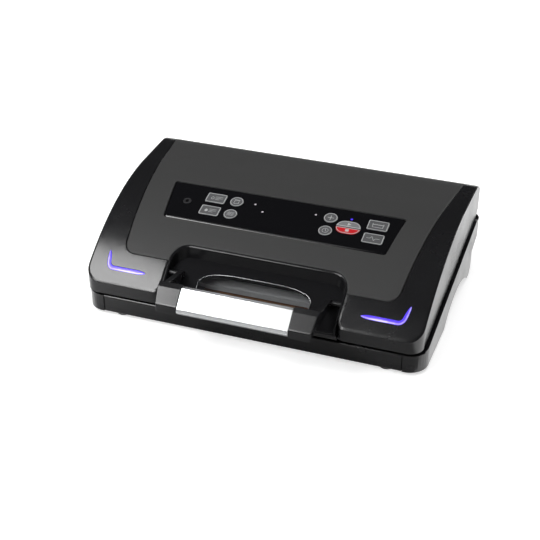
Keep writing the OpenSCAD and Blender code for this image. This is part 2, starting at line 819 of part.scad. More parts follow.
module base_room() {
    w = base_wall;
    shelf_y = deck_flat + (shelf_z - deck_z) / deck_rise;
    polygon([[w, -1], [w, deck_z - w], [deck_flat, deck_z - w], [shelf_y, shelf_z - w],
             [base_rear_y - w, shelf_z - w], [base_rear_y - w, undercut_high_z + w * 0.7],
             [foot_wall_y - w, undercut_low_z + w * 0.7], [foot_wall_y - w, base_z + 9],
             [foot_wall_y - w - 7.8, base_z], [foot_wall_y - w - 7.8, -1]]);
}

module base_plan(inset, reach) {
    taper_plan(base_front_w - 2 * inset, base_rear_w - 2 * inset, inset - reach,
               base_rear_y - inset + reach, max(base_front_r - inset, 1), max(base_rear_r - inset, 1));
}

module deck_space() {
    shelf_y = deck_flat + (shelf_z - deck_z) / deck_rise;
    polygon([[-60, deck_z], [deck_flat, deck_z], [shelf_y, shelf_z], [far, shelf_z],
             [far, far], [-60, far]]);
}

module grip_arch(extra) {
    mirror_x() translate([grip_x, grip_y, grip_z - grip_r]) rotate([0, 90, 0])
        cylinder(r = grip_r + extra, h = 40, $fn = 300);
}

module chamber_box(grow) {
    translate([0, chamber_v + chamber_d / 2, -chamber_depth - grow]) linear_extrude(chamber_depth + grow + 5)
        round_rect(chamber_l + 2 * grow, chamber_d + 2 * grow, 5 + grow);
}

module base_housing() color("#1c1c1e") {
    difference() {
        union() {
            difference() {
                intersection() {
                    along_x(-far / 2, far / 2) base_side(base_z);
                    linear_extrude(far / 2) base_plan(0, 0);
                }
                intersection() {
                    along_x(-far / 2, far / 2) base_room();
                    translate([0, 0, -2]) linear_extrude(far / 2) base_plan(base_wall, 0);
                }
                intersection() {
                    along_x(-far / 2, far / 2) deck_space();
                    linear_extrude(far / 2) base_plan(base_wall, 20);
                }
            }
            on_deck() difference() {
                chamber_box(base_wall);
                translate([-far / 2, 0, -base_wall / 2]) cube(far);
            }
            mirror_x() for (p = base_posts) intersection() {
                translate([p[0], p[1], base_z + floor_t + seat_gap]) cylinder(r = post_r, h = far / 4);
                along_x(-far / 2, far / 2) polygon([[0, 0], [0, deck_z - 1], [deck_flat, deck_z - 1],
                    [base_rear_y, deck_top(base_rear_y) - 1], [base_rear_y, 0]]);
            }
        }
        on_deck() {
            chamber_box(0);
            gasket_ring(0.1, -groove_in, 5);
            translate([0, seal_v, 0]) box(-seal_l / 2 - 2.1, seal_l / 2 + 2.1, -press_w / 2 - 0.1,
                                          press_w / 2 + 0.1, -carrier_in, 5);
            translate([nozzle_x, nozzle_v, -40]) cylinder(r = hose_r + run_gap, h = 40);
        }
        mirror_x() {
            for (p = base_posts) translate([p[0], p[1], 0])
                cylinder(d = screw_d + 2 * run_gap, h = base_z + floor_t + screw_l);
            box(striker_x - 1.6, striker_x + 1.6, striker_post_y - 0.1,
                striker_post_y + striker_post + 0.1, 0, far / 4);
        }
        box(-front_panel_w / 2, front_panel_w / 2, -1, base_wall + seat_gap, base_z - 1, deck_z + 1);
        grip_arch(0);
        for (i = [-5:5]) translate([fan_x + i * 3.4, foot_wall_y - base_wall / 2, 0])
            box(-1, 1, -base_wall, base_wall, base_z + 11, undercut_low_z - 2);
        box(inlet_x - inlet_w / 2 - seat_gap, inlet_x + inlet_w / 2 + seat_gap, foot_wall_y - base_wall - 1,
            foot_wall_y + 1, inlet_z - seat_gap, inlet_z + inlet_h + seat_gap);
    }
}

module base_bottom_cover() color("#232325") {
    inset = base_wall + part_gap;
    rear = foot_wall_y - base_wall - 8.2;
    difference() {
        intersection() {
            union() {
                box(-far / 2, far / 2, inset, rear, base_z, base_z + floor_t);
                grip_arch(base_wall);
                mirror_x() translate([grip_x - base_wall, grip_y, grip_z - grip_r]) rotate([0, 90, 0])
                    cylinder(r = grip_r + base_wall, h = base_wall + eps, $fn = 300);
            }
            linear_extrude(far / 2) taper_plan(base_front_w - 2 * inset, base_rear_w - 2 * inset,
                inset, base_rear_y - inset, base_front_r - inset, base_rear_r - inset);
            box(-far, far, inset, rear, base_z, far / 4);
        }
        grip_arch(0);
        mirror_x() for (p = base_posts) translate([p[0], p[1], 0]) {
            cylinder(d = screw_d + 0.4, h = far / 4);
            cylinder(d = screw_head_d + 0.4, h = base_z + screw_head_t);
        }
        for (i = [0:9], j = [0:1]) translate([pump_x - 42 + i * vent_step, pump_y - 36 + j * 24, 0])
            cube([vent_w, 20, far / 4]);
        for (i = [0:7]) translate([transformer_x - 20 + i * vent_step, transformer_y - 13, 0])
            cube([vent_w, 25, far / 4]);
    }
}

module base_front_panel() color("#19191b") {
    hold = 1.5;
    box(-front_panel_w / 2 + 0.2, front_panel_w / 2 - 0.2, 0, base_wall, base_z, deck_z);
    for (x = [-120, -40, 40, 120]) box(x - 8, x + 8, base_wall - eps, base_wall + seat_gap + hold,
                                       base_z + floor_t + 0.2, base_z + floor_t + 2);
}

module rubber_feet() color("#101010") {
    mirror_x() for (p = foot_places) translate([p[0], p[1], 0]) {
        cylinder(d = foot_d, h = foot_h);
    }
}

module base_screws() color("#8d8f92") {
    mirror_x() for (p = base_posts) translate([p[0], p[1], base_z]) {
        cylinder(d = screw_head_d, h = screw_head_t);
        cylinder(d = screw_d, h = floor_t + screw_l - 0.5);
    }
}

module drip_tray() color("#303034") {
    wall = 1.5;
    gap = 0.5;
    tray_l = chamber_l - 30;
    on_deck() translate([-15 + gap / 2, chamber_v + chamber_d / 2, -chamber_depth]) difference() {
        linear_extrude(chamber_depth - 2) round_rect(tray_l, chamber_d - 2 * gap, 4.5);
        translate([0, 0, wall]) linear_extrude(chamber_depth)
            round_rect(tray_l - 2 * wall, chamber_d - 2 * gap - 2 * wall, 3);
    }
}

module lower_gasket() color("#3a3a3c") on_deck() gasket_ring(0, -groove_in, seal_stack);

module heating_carrier() color("#8a8378") {
    on_deck() translate([0, seal_v, 0]) box(-seal_l / 2 - 2, seal_l / 2 + 2, -press_w / 2, press_w / 2,
                                            -carrier_in, seal_stack - tape_t - element_t);
}

module heating_element() color("#b8b09a") {
    on_deck() translate([0, seal_v, seal_stack - tape_t - element_t])
        box(-seal_l / 2, seal_l / 2, -seal_w / 2, seal_w / 2, 0, element_t);
}

module ptfe_tape() color("#7a4a2c") {
    on_deck() translate([0, seal_v, seal_stack - tape_t])
        box(-seal_l / 2 - 1, seal_l / 2 + 1, -press_w / 2 + 1, press_w / 2 - 1, 0, tape_t);
}

module latch_strikers() color("#a9acb0") {
    half = 1.5;
    mirror_x() {
        box(striker_x - half, striker_x + half, striker_post_y, striker_post_y + striker_post,
            deck_z - 12, tongue_z + tongue_t);
        box(striker_x - half, striker_x + half, tongue_y, striker_post_y + striker_post,
            tongue_z, tongue_z + tongue_t);
        on_deck() box(striker_x - 5, striker_x + 5, striker_post_y - deck_flat - 2,
                      striker_post_y - deck_flat + striker_post + 6, -base_wall - 2, -base_wall - seat_gap);
    }
}

module pump_motor() color("#6f7276") {
    difference() {
        translate([pump_x - 70, pump_y, pump_z]) rotate([0, 90, 0]) {
            cylinder(r = pump_r, h = 42);
            translate([0, 0, -4]) cylinder(r = 6, h = 50);
        }
        translate([pump_x - 34, pump_y, pump_z]) rotate([0, 90, 0]) cylinder(r = crank_r + run_gap, h = 20);
    }
}

module pump_body() color("#3b3d40") {
    half = 20;
    difference() {
        union() {
            box(pump_x - 22, pump_x + 24, pump_y - half, pump_y + half, pump_z - 14, pump_z + 16);
            for (y = [-10, 10]) translate([pump_x + 12, pump_y + y, pump_z + 15]) cylinder(r = 8, h = 4);
            on_deck() translate([nozzle_x, barb_v, hose_w]) rotate([-90, 0, 0])
                cylinder(r = hose_bore_r - run_gap, h = 22);
        }
        translate([pump_x - 23, pump_y, pump_z]) rotate([0, 90, 0]) cylinder(r = 12, h = 16);
        on_deck() translate([nozzle_x, barb_v - 1, hose_w]) rotate([-90, 0, 0]) cylinder(r = 1.4, h = 16);
    }
}

module pump_crank() color("#c2a45a") {
    translate([pump_x - 33, pump_y, pump_z]) rotate([0, 90, 0]) cylinder(r = crank_r, h = 15);
    translate([pump_x - 19, pump_y, pump_z]) rotate([0, 90, 0]) {
        cylinder(r = 7, h = 5);
        translate([3, 0, 5 - eps]) cylinder(r = 3, h = 4);
    }
}

module pump_bracket() color("#9b9ea2") {
    low = base_z + floor_t + seat_gap;
    difference() {
        union() {
            box(pump_x - 68, pump_x + 24, pump_y - 18, pump_y + 18, low, low + 2);
            for (x = [-66, -40]) box(pump_x + x, pump_x + x + 6, pump_y - 14, pump_y + 14, low, pump_z - 4);
            box(pump_x - 22, pump_x + 24, pump_y - 14, pump_y + 14, low, pump_z - 14 - seat_gap);
        }
        translate([pump_x - 80, pump_y, pump_z]) rotate([0, 90, 0]) cylinder(r = pump_r + seat_gap, h = 57);
    }
}

module transformer() color("#7d5b3a") {
    low = base_z + floor_t + seat_gap;
    translate([transformer_x, transformer_y, low]) {
        box(-27, 27, -16, 16, 0, 36);
        box(-18, 18, -22, 22, 6, 30);
        box(-32, 32, -10, 10, 0, 2);
    }
}

module power_board() color("#1f5b3a") {
    low = base_z + floor_t + seat_gap;
    translate([power_board_x, power_board_y, low]) {
        box(-50, 50, -22, 22, 5, 6.6);
        for (x = [-45, 45], y = [-17, 17]) translate([x, y, 0]) cylinder(r = 2.5, h = 5.1);
        for (x = [-30, -14]) translate([x, 6, 6.5]) cylinder(r = 6, h = 13);
        box(10, 22, -16, 14, 6.5, 20);
        box(30, 42, -12, 4, 6.5, 16);
    }
}

module fan_frame() color("#18181a") {
    half = fan_size / 2;
    difference() {
        translate([fan_x, fan_y, fan_z]) union() {
            box(-half, half, -fan_t / 2, fan_t / 2, -half, half);
            for (x = [-half, half - 5])
                box(x, x + 5, -fan_t / 2, -fan_t / 2 + 4, base_z + floor_t + seat_gap - fan_z, 0);
        }
        translate([fan_x, fan_y + fan_t / 2 - 1.5, fan_z]) rotate([90, 0, 0])
            cylinder(r = half - 1.5, h = fan_t);
        translate([fan_x, fan_y + fan_t, fan_z]) rotate([90, 0, 0]) difference() {
            cylinder(r = half - 1.5, h = 2 * fan_t);
            cylinder(r = 7, h = 2 * fan_t);
            for (a = [45:90:315]) rotate([0, 0, a]) translate([0, -1.5, 0]) cube([half, 3, 2 * fan_t]);
        }
    }
    translate([fan_x, fan_y + fan_t / 2 - 1, fan_z]) rotate([90, 0, 0]) cylinder(r = fan_pin_r, h = 8);
}

module fan_rotor() color("#2c2c30") {
    half = fan_size / 2;
    front = fan_y + fan_t / 2 - 2.2;
    difference() {
        union() {
            translate([fan_x, front, fan_z]) rotate([90, 0, 0]) cylinder(r = 7, h = 8);
            for (i = [0:6]) translate([fan_x, front - 4, fan_z]) rotate([0, i * 360 / 7, 0])
                translate([6, -2.5, 0]) rotate([35, 0, 0]) translate([0, 0, -0.6]) cube([half - 8.5, 6, 1.2]);
        }
        translate([fan_x, front + 1, fan_z]) rotate([90, 0, 0]) cylinder(r = fan_pin_r + run_gap, h = 8.3);
    }
}

module power_inlet() color("#0e0e10") {
    difference() {
        union() {
            box(inlet_x - inlet_w / 2, inlet_x + inlet_w / 2, foot_wall_y - 18, foot_wall_y,
                inlet_z, inlet_z + inlet_h);
            box(inlet_x - inlet_w / 2 - 2, inlet_x + inlet_w / 2 + 2, foot_wall_y - base_wall - 2.5,
                foot_wall_y - base_wall - seat_gap, inlet_z + 0.5, inlet_z + inlet_h + 2);
        }
        translate([inlet_x, foot_wall_y + 1, inlet_z + inlet_h / 2]) rotate([90, 0, 0]) linear_extrude(14)
            round_rect(inlet_w - 3, inlet_h - 4, 3.9);
    }
    for (x = [-4.2, 4.2]) translate([inlet_x + x, foot_wall_y - 2, inlet_z + inlet_h / 2]) rotate([90, 0, 0])
        cylinder(r = 1.2, h = 12);
}

module hinge_brackets() color("#9b9ea2") {
    inner = knuckle_w / 2 + ear_gap;
    outer = inner + ear_w - 1;
    difference() {
        mirror_x() {
            for (x = [-outer, inner]) {
                along_x(hinge_x + x, hinge_x + x + outer - inner) {
                    polygon([[hinge_y - knuckle_r, deck_top(hinge_y - knuckle_r)],
                             [hinge_y + knuckle_r, deck_top(hinge_y + knuckle_r)],
                             [hinge_y + knuckle_r, hinge_z], [hinge_y - knuckle_r, hinge_z]]);
                    translate([hinge_y, hinge_z]) circle(knuckle_r);
                }
            }
            along_x(hinge_x - outer, hinge_x + outer) {
                front = hinge_y - 14;
                rear = hinge_y + knuckle_r;
                polygon([[front, deck_top(front)], [rear, deck_top(rear)],
                         [rear, deck_top(rear) + 2], [front, deck_top(front) + 2]]);
            }
        }
        mirror_x() translate([hinge_x, hinge_y, hinge_z]) rotate([0, 90, 0])
            cylinder(d = hinge_pin_d + run_gap, h = 3 * knuckle_w, center = true);
    }
}

module hinge_pins() color("#c4c6c9") {
    l = knuckle_w + 2 * (ear_gap + ear_w - 1);
    mirror_x() translate([hinge_x, hinge_y, hinge_z]) rotate([0, 90, 0])
        cylinder(d = hinge_pin_d, h = l, center = true);
}

module suction_nozzle() color("#d0cdc2") {
    on_deck() translate([nozzle_x, nozzle_v, 0]) difference() {
        union() {
            translate([0, 0, hose_w - 4]) cylinder(r = hose_r, h = -hose_w);
            translate([0, 0, -chamber_depth - base_wall - 1.5 - seat_gap]) cylinder(r = hose_r + 2, h = 1.5);
            translate([0, 0, hose_w]) rotate([-90, 0, 0]) cylinder(r = hose_bore_r - run_gap, h = 16);
        }
        translate([0, 0, hose_w]) cylinder(r = 1.6, h = 40);
        translate([0, 0, hose_w]) rotate([-90, 0, 0]) cylinder(r = 1.2, h = 17);
    }
}

module vacuum_hose() color("#dcd9cf") {
    on_deck() translate([nozzle_x, nozzle_v + hose_r + seat_gap, hose_w]) rotate([-90, 0, 0]) difference() {
        cylinder(r = hose_r, h = hose_end_v - nozzle_v - hose_r);
        translate([0, 0, -1]) cylinder(r = hose_bore_r, h = hose_end_v - nozzle_v + 2);
    }
}

module release_valve() color("#4a4d52") {
    behind = chamber_v + chamber_d + base_wall + seat_gap;
    on_deck() {
        box(70, 88, behind, behind + 15, -base_wall - 17, -base_wall - seat_gap);
        translate([79, behind + 14, -12]) rotate([-90, 0, 0]) cylinder(r = 3, h = 8);
    }
}

module pressure_sensor() color("#26282c") {
    behind = chamber_v + chamber_d + base_wall + seat_gap;
    on_deck() {
        box(92, 105, behind, behind + 10, -base_wall - 9, -base_wall - seat_gap);
        translate([98.5, behind + 9, -7]) rotate([-90, 0, 0]) cylinder(r = 2, h = 6);
    }
}

module lock_switch() color("#26282c") {
    on_deck() {
        translate([seal_l / 2 - 1, 0, 0]) {
            box(0, 6.5, 8, 28, -base_wall - 10, -base_wall - seat_gap);
            translate([3, 18, -base_wall - 14]) cylinder(r = 1.2, h = 5);
        }
    }
}

// ---- handle ------------------------------------------------------------------------
// a place on the bar, along its face and out from it, as depth and height
function bar_point(along, out) = [-bar_reach + along * cos(bar_tilt) - out * sin(bar_tilt),
                                  bar_z + along * sin(bar_tilt) + out * cos(bar_tilt)];

module handle_bar() color("#dcdde0") {
    half = bar_face / 2;
    bevel = 2.6;
    drop = 1.3;
    on_bar() along_x(-bar_l / 2, bar_l / 2)
        polygon([[-half, -drop], [-half + bevel, 0], [half - bevel, 0], [half, -drop],
                 [half, -bar_t + drop], [half - bevel, -bar_t],
                 [-half + bevel, -bar_t], [-half, -bar_t + drop]]);
}

module handle_arm() {
    half = bar_face / 2 + 1.5;
    back = bar_t + 1;
    end = handle_w / 2;
    difference() {
        union() {
            on_bar() intersection() {
                along_x(bar_l / 2 + seat_gap, end) translate([0, (cap_proud - back) / 2])
                    round_rect(2 * half, back + cap_proud, cap_r);
                translate([0, 0, -far / 2]) linear_extrude(far)
                    polygon([[0, -half], [end - 4, -half], [end, half], [0, half]]);
            }
            along_x(end - arm_t, end - 1) {
                polygon([[pivot_y, pivot_z + boss_r], bar_point(half - 2, -back + 2), bar_point(0, -back + 3),
                         bar_point(-3, -back + 1), [pivot_y, pivot_z - boss_r]]);
                translate([pivot_y, pivot_z]) circle(boss_r);
            }
        }
        translate([0, pivot_y, pivot_z]) rotate([0, 90, 0]) cylinder(r = shaft_r + run_gap, h = far / 2);
    }
}

module handle_arm_right() color("#161618") handle_arm();
module handle_arm_left() color("#161618") mirror([1, 0, 0]) handle_arm();

module latch_hooks() color("#232426") {
    mirror_x() {
        translate([handle_w / 2 - arm_t, pivot_y, pivot_z]) rotate([0, 90, 0])
            cylinder(r = shaft_r, h = shaft_end_x - handle_w / 2 + arm_t);
        along_x(hook_x, hook_x + hook_t) {
            translate([pivot_y, pivot_z]) circle(shaft_r + hook_rim);
            polygon([[pivot_y - shaft_r, pivot_z], [pivot_y, pivot_z], [pivot_y, pivot_z - hook_drop],
                     [pivot_y + hook_toe, pivot_z - hook_drop], [pivot_y + hook_toe, pivot_z - hook_drop - 3],
                     [pivot_y - shaft_r, pivot_z - hook_drop - 3]]);
        }
    }
}

// ---- the machine -----------------------------------------------------------------------
machine() {
    base_housing();
    base_bottom_cover();
    base_front_panel();
    rubber_feet();
    base_screws();
    drip_tray();
    lower_gasket();
    heating_carrier();
    heating_element();
    ptfe_tape();
    latch_strikers();
    pump_motor();
    pump_body();
    pump_crank();
    pump_bracket();
    transformer();
    power_board();
    fan_frame();
    fan_rotor();
    power_inlet();
    hinge_brackets();
    hinge_pins();
    suction_nozzle();
    vacuum_hose();
    release_valve();
    pressure_sensor();
    lock_switch();
    lid_frame();
    lid_cover();
    lid_liner();
    recess_pan();
    viewing_window();
    press_bar();
    press_strip();
    upper_gasket();
    control_panel();
    control_board();
    indicator_lenses();
    light_strip_left();
    light_strip_right();
    led_boards();
    port_bush();
    port_hose();
    lid_screws();
    mode_key_1();
    mode_key_2();
    side_key_1();
    side_key_2();
    round_key_1();
    round_key_2();
    round_key_3();
    round_key_4();
    start_key();
    stop_key();
    handle_bar();
    handle_arm_left();
    handle_arm_right();
    latch_hooks();
}
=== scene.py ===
# %% [markdown]
# # A countertop vacuum sealer
# The machine is a low base with a hinged lid. The lid is a black frame round a matte
# cover, with a gloss key panel, a recess for the silver bar handle and two light strips.
# The engineering model is loaded first and stays where it is. What the eye rests on is
# built again here as smooth moulded shells, and what works inside keeps its own form and
# gets a finish.

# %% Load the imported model
import json
import math

import bmesh
import bpy
import numpy as np
from mathutils import Matrix, Vector, geometry


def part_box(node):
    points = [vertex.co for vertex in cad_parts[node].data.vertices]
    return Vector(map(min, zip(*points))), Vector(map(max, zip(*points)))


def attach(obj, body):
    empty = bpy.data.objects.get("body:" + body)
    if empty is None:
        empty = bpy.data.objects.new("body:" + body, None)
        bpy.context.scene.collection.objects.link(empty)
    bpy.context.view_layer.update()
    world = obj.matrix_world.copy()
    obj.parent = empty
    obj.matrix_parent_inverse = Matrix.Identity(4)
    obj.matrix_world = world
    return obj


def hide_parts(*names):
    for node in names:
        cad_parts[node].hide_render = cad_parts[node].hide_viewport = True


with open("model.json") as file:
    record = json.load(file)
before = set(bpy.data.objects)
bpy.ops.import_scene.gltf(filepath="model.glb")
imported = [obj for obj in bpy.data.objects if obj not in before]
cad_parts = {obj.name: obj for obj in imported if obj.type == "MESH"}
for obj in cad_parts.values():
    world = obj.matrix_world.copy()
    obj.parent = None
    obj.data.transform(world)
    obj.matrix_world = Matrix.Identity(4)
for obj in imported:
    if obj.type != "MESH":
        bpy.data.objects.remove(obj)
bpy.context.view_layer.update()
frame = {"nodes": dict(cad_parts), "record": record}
nodes = frame["nodes"]

# %% [markdown]
# ## Camera
# A long lens from the front right, a little above the lid. It is set before anything is
# made, so that every piece can be judged in the frame that it will be seen in.

# %% Place the camera
LENS_MM = 76.62
camera_data = bpy.data.cameras.new("camera")
camera_data.lens = LENS_MM
camera_data.sensor_width = 36
camera = bpy.data.objects.new("camera", camera_data)
bpy.context.scene.collection.objects.link(camera)
camera.location = (0.3686, -1.06919, 0.7321)
view_line = Vector((-0.2845, 0.8015, -0.5260))
camera.rotation_euler = view_line.to_track_quat("-Z", "Y").to_euler()
bpy.context.scene.camera = camera
print("lens", LENS_MM, "mm")

# %% [markdown]
# ## Sizes that several pieces share
# Sizes are in millimetres and y counts back from the base's front face, as on a
# drawing. One matrix turns them into metres in the model's own place.

# %% Drawing frame
FRONT_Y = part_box("base_housing")[0].y
MM = Matrix.Translation((0, FRONT_Y, 0)) @ Matrix.Scale(0.001, 4)
LID_FRONT, LID_REAR = -5.0, 260.0
ROOF_Z, CURVE_R, CURVE_Y = 112.0, 285.0, 177.0
REAR_R = 29.0
EDGE_Z, DECK_FLAT, DECK_RISE = 31.0, 21.0, 0.17
WALL = 2.5


def roof(x, y):
    """Height of the lid's outer surface above the table."""
    if y > LID_REAR - REAR_R:
        rest = REAR_R**2 - (min(y, LID_REAR) - LID_REAR + REAR_R) ** 2
        return ROOF_Z - REAR_R + math.sqrt(max(rest, 0.0))
    if y > CURVE_Y:
        return ROOF_Z
    return ROOF_Z - CURVE_R + math.sqrt(CURVE_R**2 - (CURVE_Y - y) ** 2)


def edge_z(y):
    """Height of the lid's lower edge."""
    return EDGE_Z + DECK_RISE * max(0.0, y - DECK_FLAT)


def tilted(y, z, degrees):
    """A drawing frame that stands on a tilted face, with its own x, v and height."""
    return MM @ Matrix.Translation((0, y, z)) @ Matrix.Rotation(math.radians(degrees), 4, "X")


PANEL_Y, PANEL_Z, PANEL_TILT = 108.2, 101.8, 13.3
FLOOR_START_Z, FLOOR_TILT = 38.52, 28.8
BAR_Y, BAR_Z, BAR_TILT = -38.0, 67.515, 43.7
PANEL = tilted(PANEL_Y, PANEL_Z, PANEL_TILT)
FLOOR = tilted(LID_FRONT, FLOOR_START_Z, FLOOR_TILT)
BAR = tilted(BAR_Y, BAR_Z, BAR_TILT)
print("roof at the front", round(roof(0, LID_FRONT), 2))

# %% [markdown]
# ## A shell from rings
# A moulded part has a face, a rounded edge and a wall. The edge is drawn as rings of
# points: each ring has as many points as the last, a little further out and lower. The
# face inside the first ring is filled with triangles that carry the curve of the roof.
# This gives soft edges that catch the light, which sharp solids don't.


# %% Points inside an outline
def inside(points, starts, ends):
    """Which points lie inside the closed outlines, by counting crossings."""
    x, y = points[:, 0][:, None], points[:, 1][:, None]
    x0, y0, x1, y1 = starts[:, 0], starts[:, 1], ends[:, 0], ends[:, 1]
    span = (y0 > y) != (y1 > y)
    rise = np.where(y1 == y0, 1e-12, y1 - y0)
    return (span & (x < x0 + (y - y0) * (x1 - x0) / rise)).sum(axis=1) % 2 == 1


def clear_of(points, others, distance):
    """The points that are farther than a distance from all the others."""
    if not len(points):
        return points
    near = np.array([np.hypot(*(others - p).T).min() for p in points])
    return points[near > distance]


# %% Shell builder
class Shell:
    """Collects rings and fills in drawing millimetres, and makes one mesh of them."""

    def __init__(self):
        self.points, self.faces, self.values = [], [], []

    def ring(self, points, value=0.0):
        start = len(self.points)
        self.points += [tuple(map(float, p)) for p in points]
        self.values += list(value) if hasattr(value, "__len__") else [value] * len(points)
        return list(range(start, len(self.points)))

    def bridge(self, a, b):
        count = len(a)
        for i in range(count):
            j = (i + 1) % count
            self.faces.append((a[i], b[i], b[j], a[j]))

    def stack(self, rings, values=None):
        """Joins the rings in order, and returns the first and the last."""
        made = [self.ring(r, values[i] if values else 0.0) for i, r in enumerate(rings)]
        for a, b in zip(made, made[1:]):
            self.bridge(a, b)
        return made[0], made[-1]

    def closed(self, rings):
        """Joins the rings in order, and the last one to the first."""
        first, last = self.stack(rings)
        self.bridge(last, first)

    def rod(self, rings):
        """Joins the rings in order, and closes both ends with one face each."""
        first, last = self.stack(rings)
        self.faces += [tuple(first), tuple(last)]

    def slab(self, rings, top_z, bottom_z, step=40):
        """Joins the rings in order, and fills the first and the last."""
        top, bottom = self.stack(rings)
        self.fill([top], top_z, step)
        self.fill([bottom], bottom_z, step)

    def fill(self, loops, height, step=7.0, value=0.0, extra=()):
        """Fills the region inside the first loop and outside the others."""
        index = [i for loop in loops for i in loop]
        flat = [Vector(self.points[i][:2]) for i in index]
        edges, start = [], 0
        for loop in loops:
            n = len(loop)
            edges += [(start + i, start + (i + 1) % n) for i in range(n)]
            start += n
        rim = np.array([[p.x, p.y] for p in flat])
        ends = rim[[b for _, b in edges]]
        xs = np.arange(rim[:, 0].min() + step / 2, rim[:, 0].max(), step)
        ys = np.arange(rim[:, 1].min() + step / 2, rim[:, 1].max(), step)
        grid = np.array([[x, y] for x in xs for y in ys]).reshape(-1, 2)
        grid = grid[inside(grid, rim, ends)]
        grid = clear_of(grid, rim, 0.35 * step)
        if len(extra):
            more = np.array(extra, float)
            more = clear_of(more[inside(more, rim, ends)], rim, 0.5)
            grid = np.vstack([clear_of(grid, more, 2.0), more])
        verts, _, tris, source, _, _ = geometry.delaunay_2d_cdt(
            flat + [Vector(p) for p in grid], edges, [], 0, 1e-5)
        middles = np.array([[(verts[t[0]][k] + verts[t[1]][k] + verts[t[2]][k]) / 3
                             for k in (0, 1)] for t in tris])
        keep = inside(middles, rim, ends)
        number = []
        for v, from_ in zip(verts, source):
            old = [s for s in from_ if s < len(index)]
            if old:
                number.append(index[old[0]])
            else:
                self.points.append((v.x, v.y, float(height(v.x, v.y))))
                self.values.append(value)
                number.append(len(self.points) - 1)
        for t, good in zip(tris, keep):
            face = tuple(number[i] for i in t)
            if good and len(set(face)) == 3:
                self.faces.append(face)

    def make(self, name, place=MM, material=None, sharp=40):
        mesh = bpy.data.meshes.new(name)
        mesh.from_pydata([place @ Vector(p) for p in self.points], [], self.faces)
        body = bmesh.new()
        body.from_mesh(mesh)
        layer = body.verts.layers.float.new("core")
        for v, value in zip(body.verts, self.values):
            v[layer] = value
        bmesh.ops.remove_doubles(body, verts=body.verts, dist=2e-6)
        loose = [v for v in body.verts if not v.link_faces]
        bmesh.ops.delete(body, geom=loose, context="VERTS")
        bmesh.ops.recalc_face_normals(body, faces=body.faces)
        body.to_mesh(mesh)
        body.free()
        mesh.shade_smooth()
        mesh.set_sharp_from_angle(angle=math.radians(sharp))
        obj = bpy.data.objects.new(name, mesh)
        bpy.context.scene.collection.objects.link(obj)
        if material:
            mesh.materials.append(material)
        even = obj.modifiers.new("even shading", "WEIGHTED_NORMAL")
        even.keep_sharp = True
        return obj


# %% Outlines
def arc(cx, cy, r, start, end, count=8):
    turn = [math.radians(start + (end - start) * i / count) for i in range(count + 1)]
    return [(cx + r * math.cos(a), cy + r * math.sin(a)) for a in turn]


def between(a, b, count):
    """Points strictly between two points."""
    return [(a[0] + (b[0] - a[0]) * i / count, a[1] + (b[1] - a[1]) * i / count)
            for i in range(1, count)]


def mirrored(path):
    return [(-x, y) for x, y in reversed(path)]


def right_side(front_w, rear_w, front_y, rear_y, front_r, rear_r, sides=44):
    """The right half of an outline that widens to the rear: corner, side, corner."""
    lean = math.atan2((rear_w - front_w) / 2, rear_y - front_y)
    front_x = front_w / 2 + front_r * math.tan(lean) - front_r / math.cos(lean)
    rear_x = rear_w / 2 - rear_r * math.tan(lean) - rear_r / math.cos(lean)
    tilt = math.degrees(lean)
    low = arc(front_x, front_y + front_r, front_r, -90, -tilt)
    high = arc(rear_x, rear_y - rear_r, rear_r, -tilt, 90)
    return low + between(low[-1], high[0], sides) + high


def closed_outline(right, ends=30):
    """Both halves and the straight lines that join them."""
    left = mirrored(right)
    return (right + between(right[-1], left[0], ends) + left
            + between(left[-1], right[0], ends))


def rounded_box(w, h, r, x=0.0, y=0.0, count=5):
    path = []
    for sx, sy, a in ((1, -1, -90), (1, 1, 0), (-1, 1, 90), (-1, -1, 180)):
        path += arc(x + sx * (w / 2 - r), y + sy * (h / 2 - r), r, a, a + 90, count)
    return path


def circle(r, x=0.0, y=0.0, count=40):
    return arc(x, y, r, 0, 360, count)[:-1]


def raised(path, height):
    """Puts a plan outline at a height, which is a number or a function of x and y."""
    return [(x, y, height(x, y) if callable(height) else height) for x, y in path]


def level(height):
    return lambda x, y: height


# %% Outlines of the lid and its recess
LID_FRONT_W, LID_REAR_W, LID_FRONT_R, LID_CORNER_R = 386, 400, 16, 9
COVER_FRONT_W, COVER_REAR_W, COVER_FRONT, COVER_REAR = 316, 369, 27.5, 248
COVER_FRONT_R, COVER_REAR_R = 14, 3


def lid_outline(inset):
    return right_side(LID_FRONT_W - 2 * inset, LID_REAR_W - 2 * inset, LID_FRONT + inset,
                      LID_REAR - inset, LID_FRONT_R - inset, LID_CORNER_R - inset)


def cover_outline(grow):
    return right_side(COVER_FRONT_W + 2 * grow, COVER_REAR_W + 2 * grow, COVER_FRONT - grow,
                      COVER_REAR + grow, COVER_FRONT_R + grow, max(COVER_REAR_R + grow, 1))


RECESS_HALF, RECESS_REAR, RECESS_R, RECESS_LEAN = 103.0, 49.0, 20.0, math.atan2(3, 94)


def recess_x(y, inset=0.0):
    """Half of the recess's width at a depth, drawn in by an inset."""
    return RECESS_HALF + (y - RECESS_REAR) * math.tan(RECESS_LEAN) - inset / math.cos(RECESS_LEAN)


def recess_side(inset, front, sides=12, count=10):
    """The recess's right side from the front to the rear corner's end."""
    lean = math.degrees(RECESS_LEAN)
    x = RECESS_HALF - RECESS_R * math.tan(RECESS_LEAN) - RECESS_R / math.cos(RECESS_LEAN)
    corner = arc(x, RECESS_REAR - RECESS_R, RECESS_R - inset, -lean, 90, count)
    start = (recess_x(front, inset), front)
    return [start] + between(start, corner[0], sides) + corner


def fillet(r, steps=4):
    """Pairs of inset and drop round an edge, from the face to the wall."""
    turn = [math.pi / 2 * i / steps for i in range(steps + 1)]
    return [(r * (1 - math.sin(a)), r * (1 - math.cos(a))) for a in turn]


print("cover corner", cover_outline(0)[0])

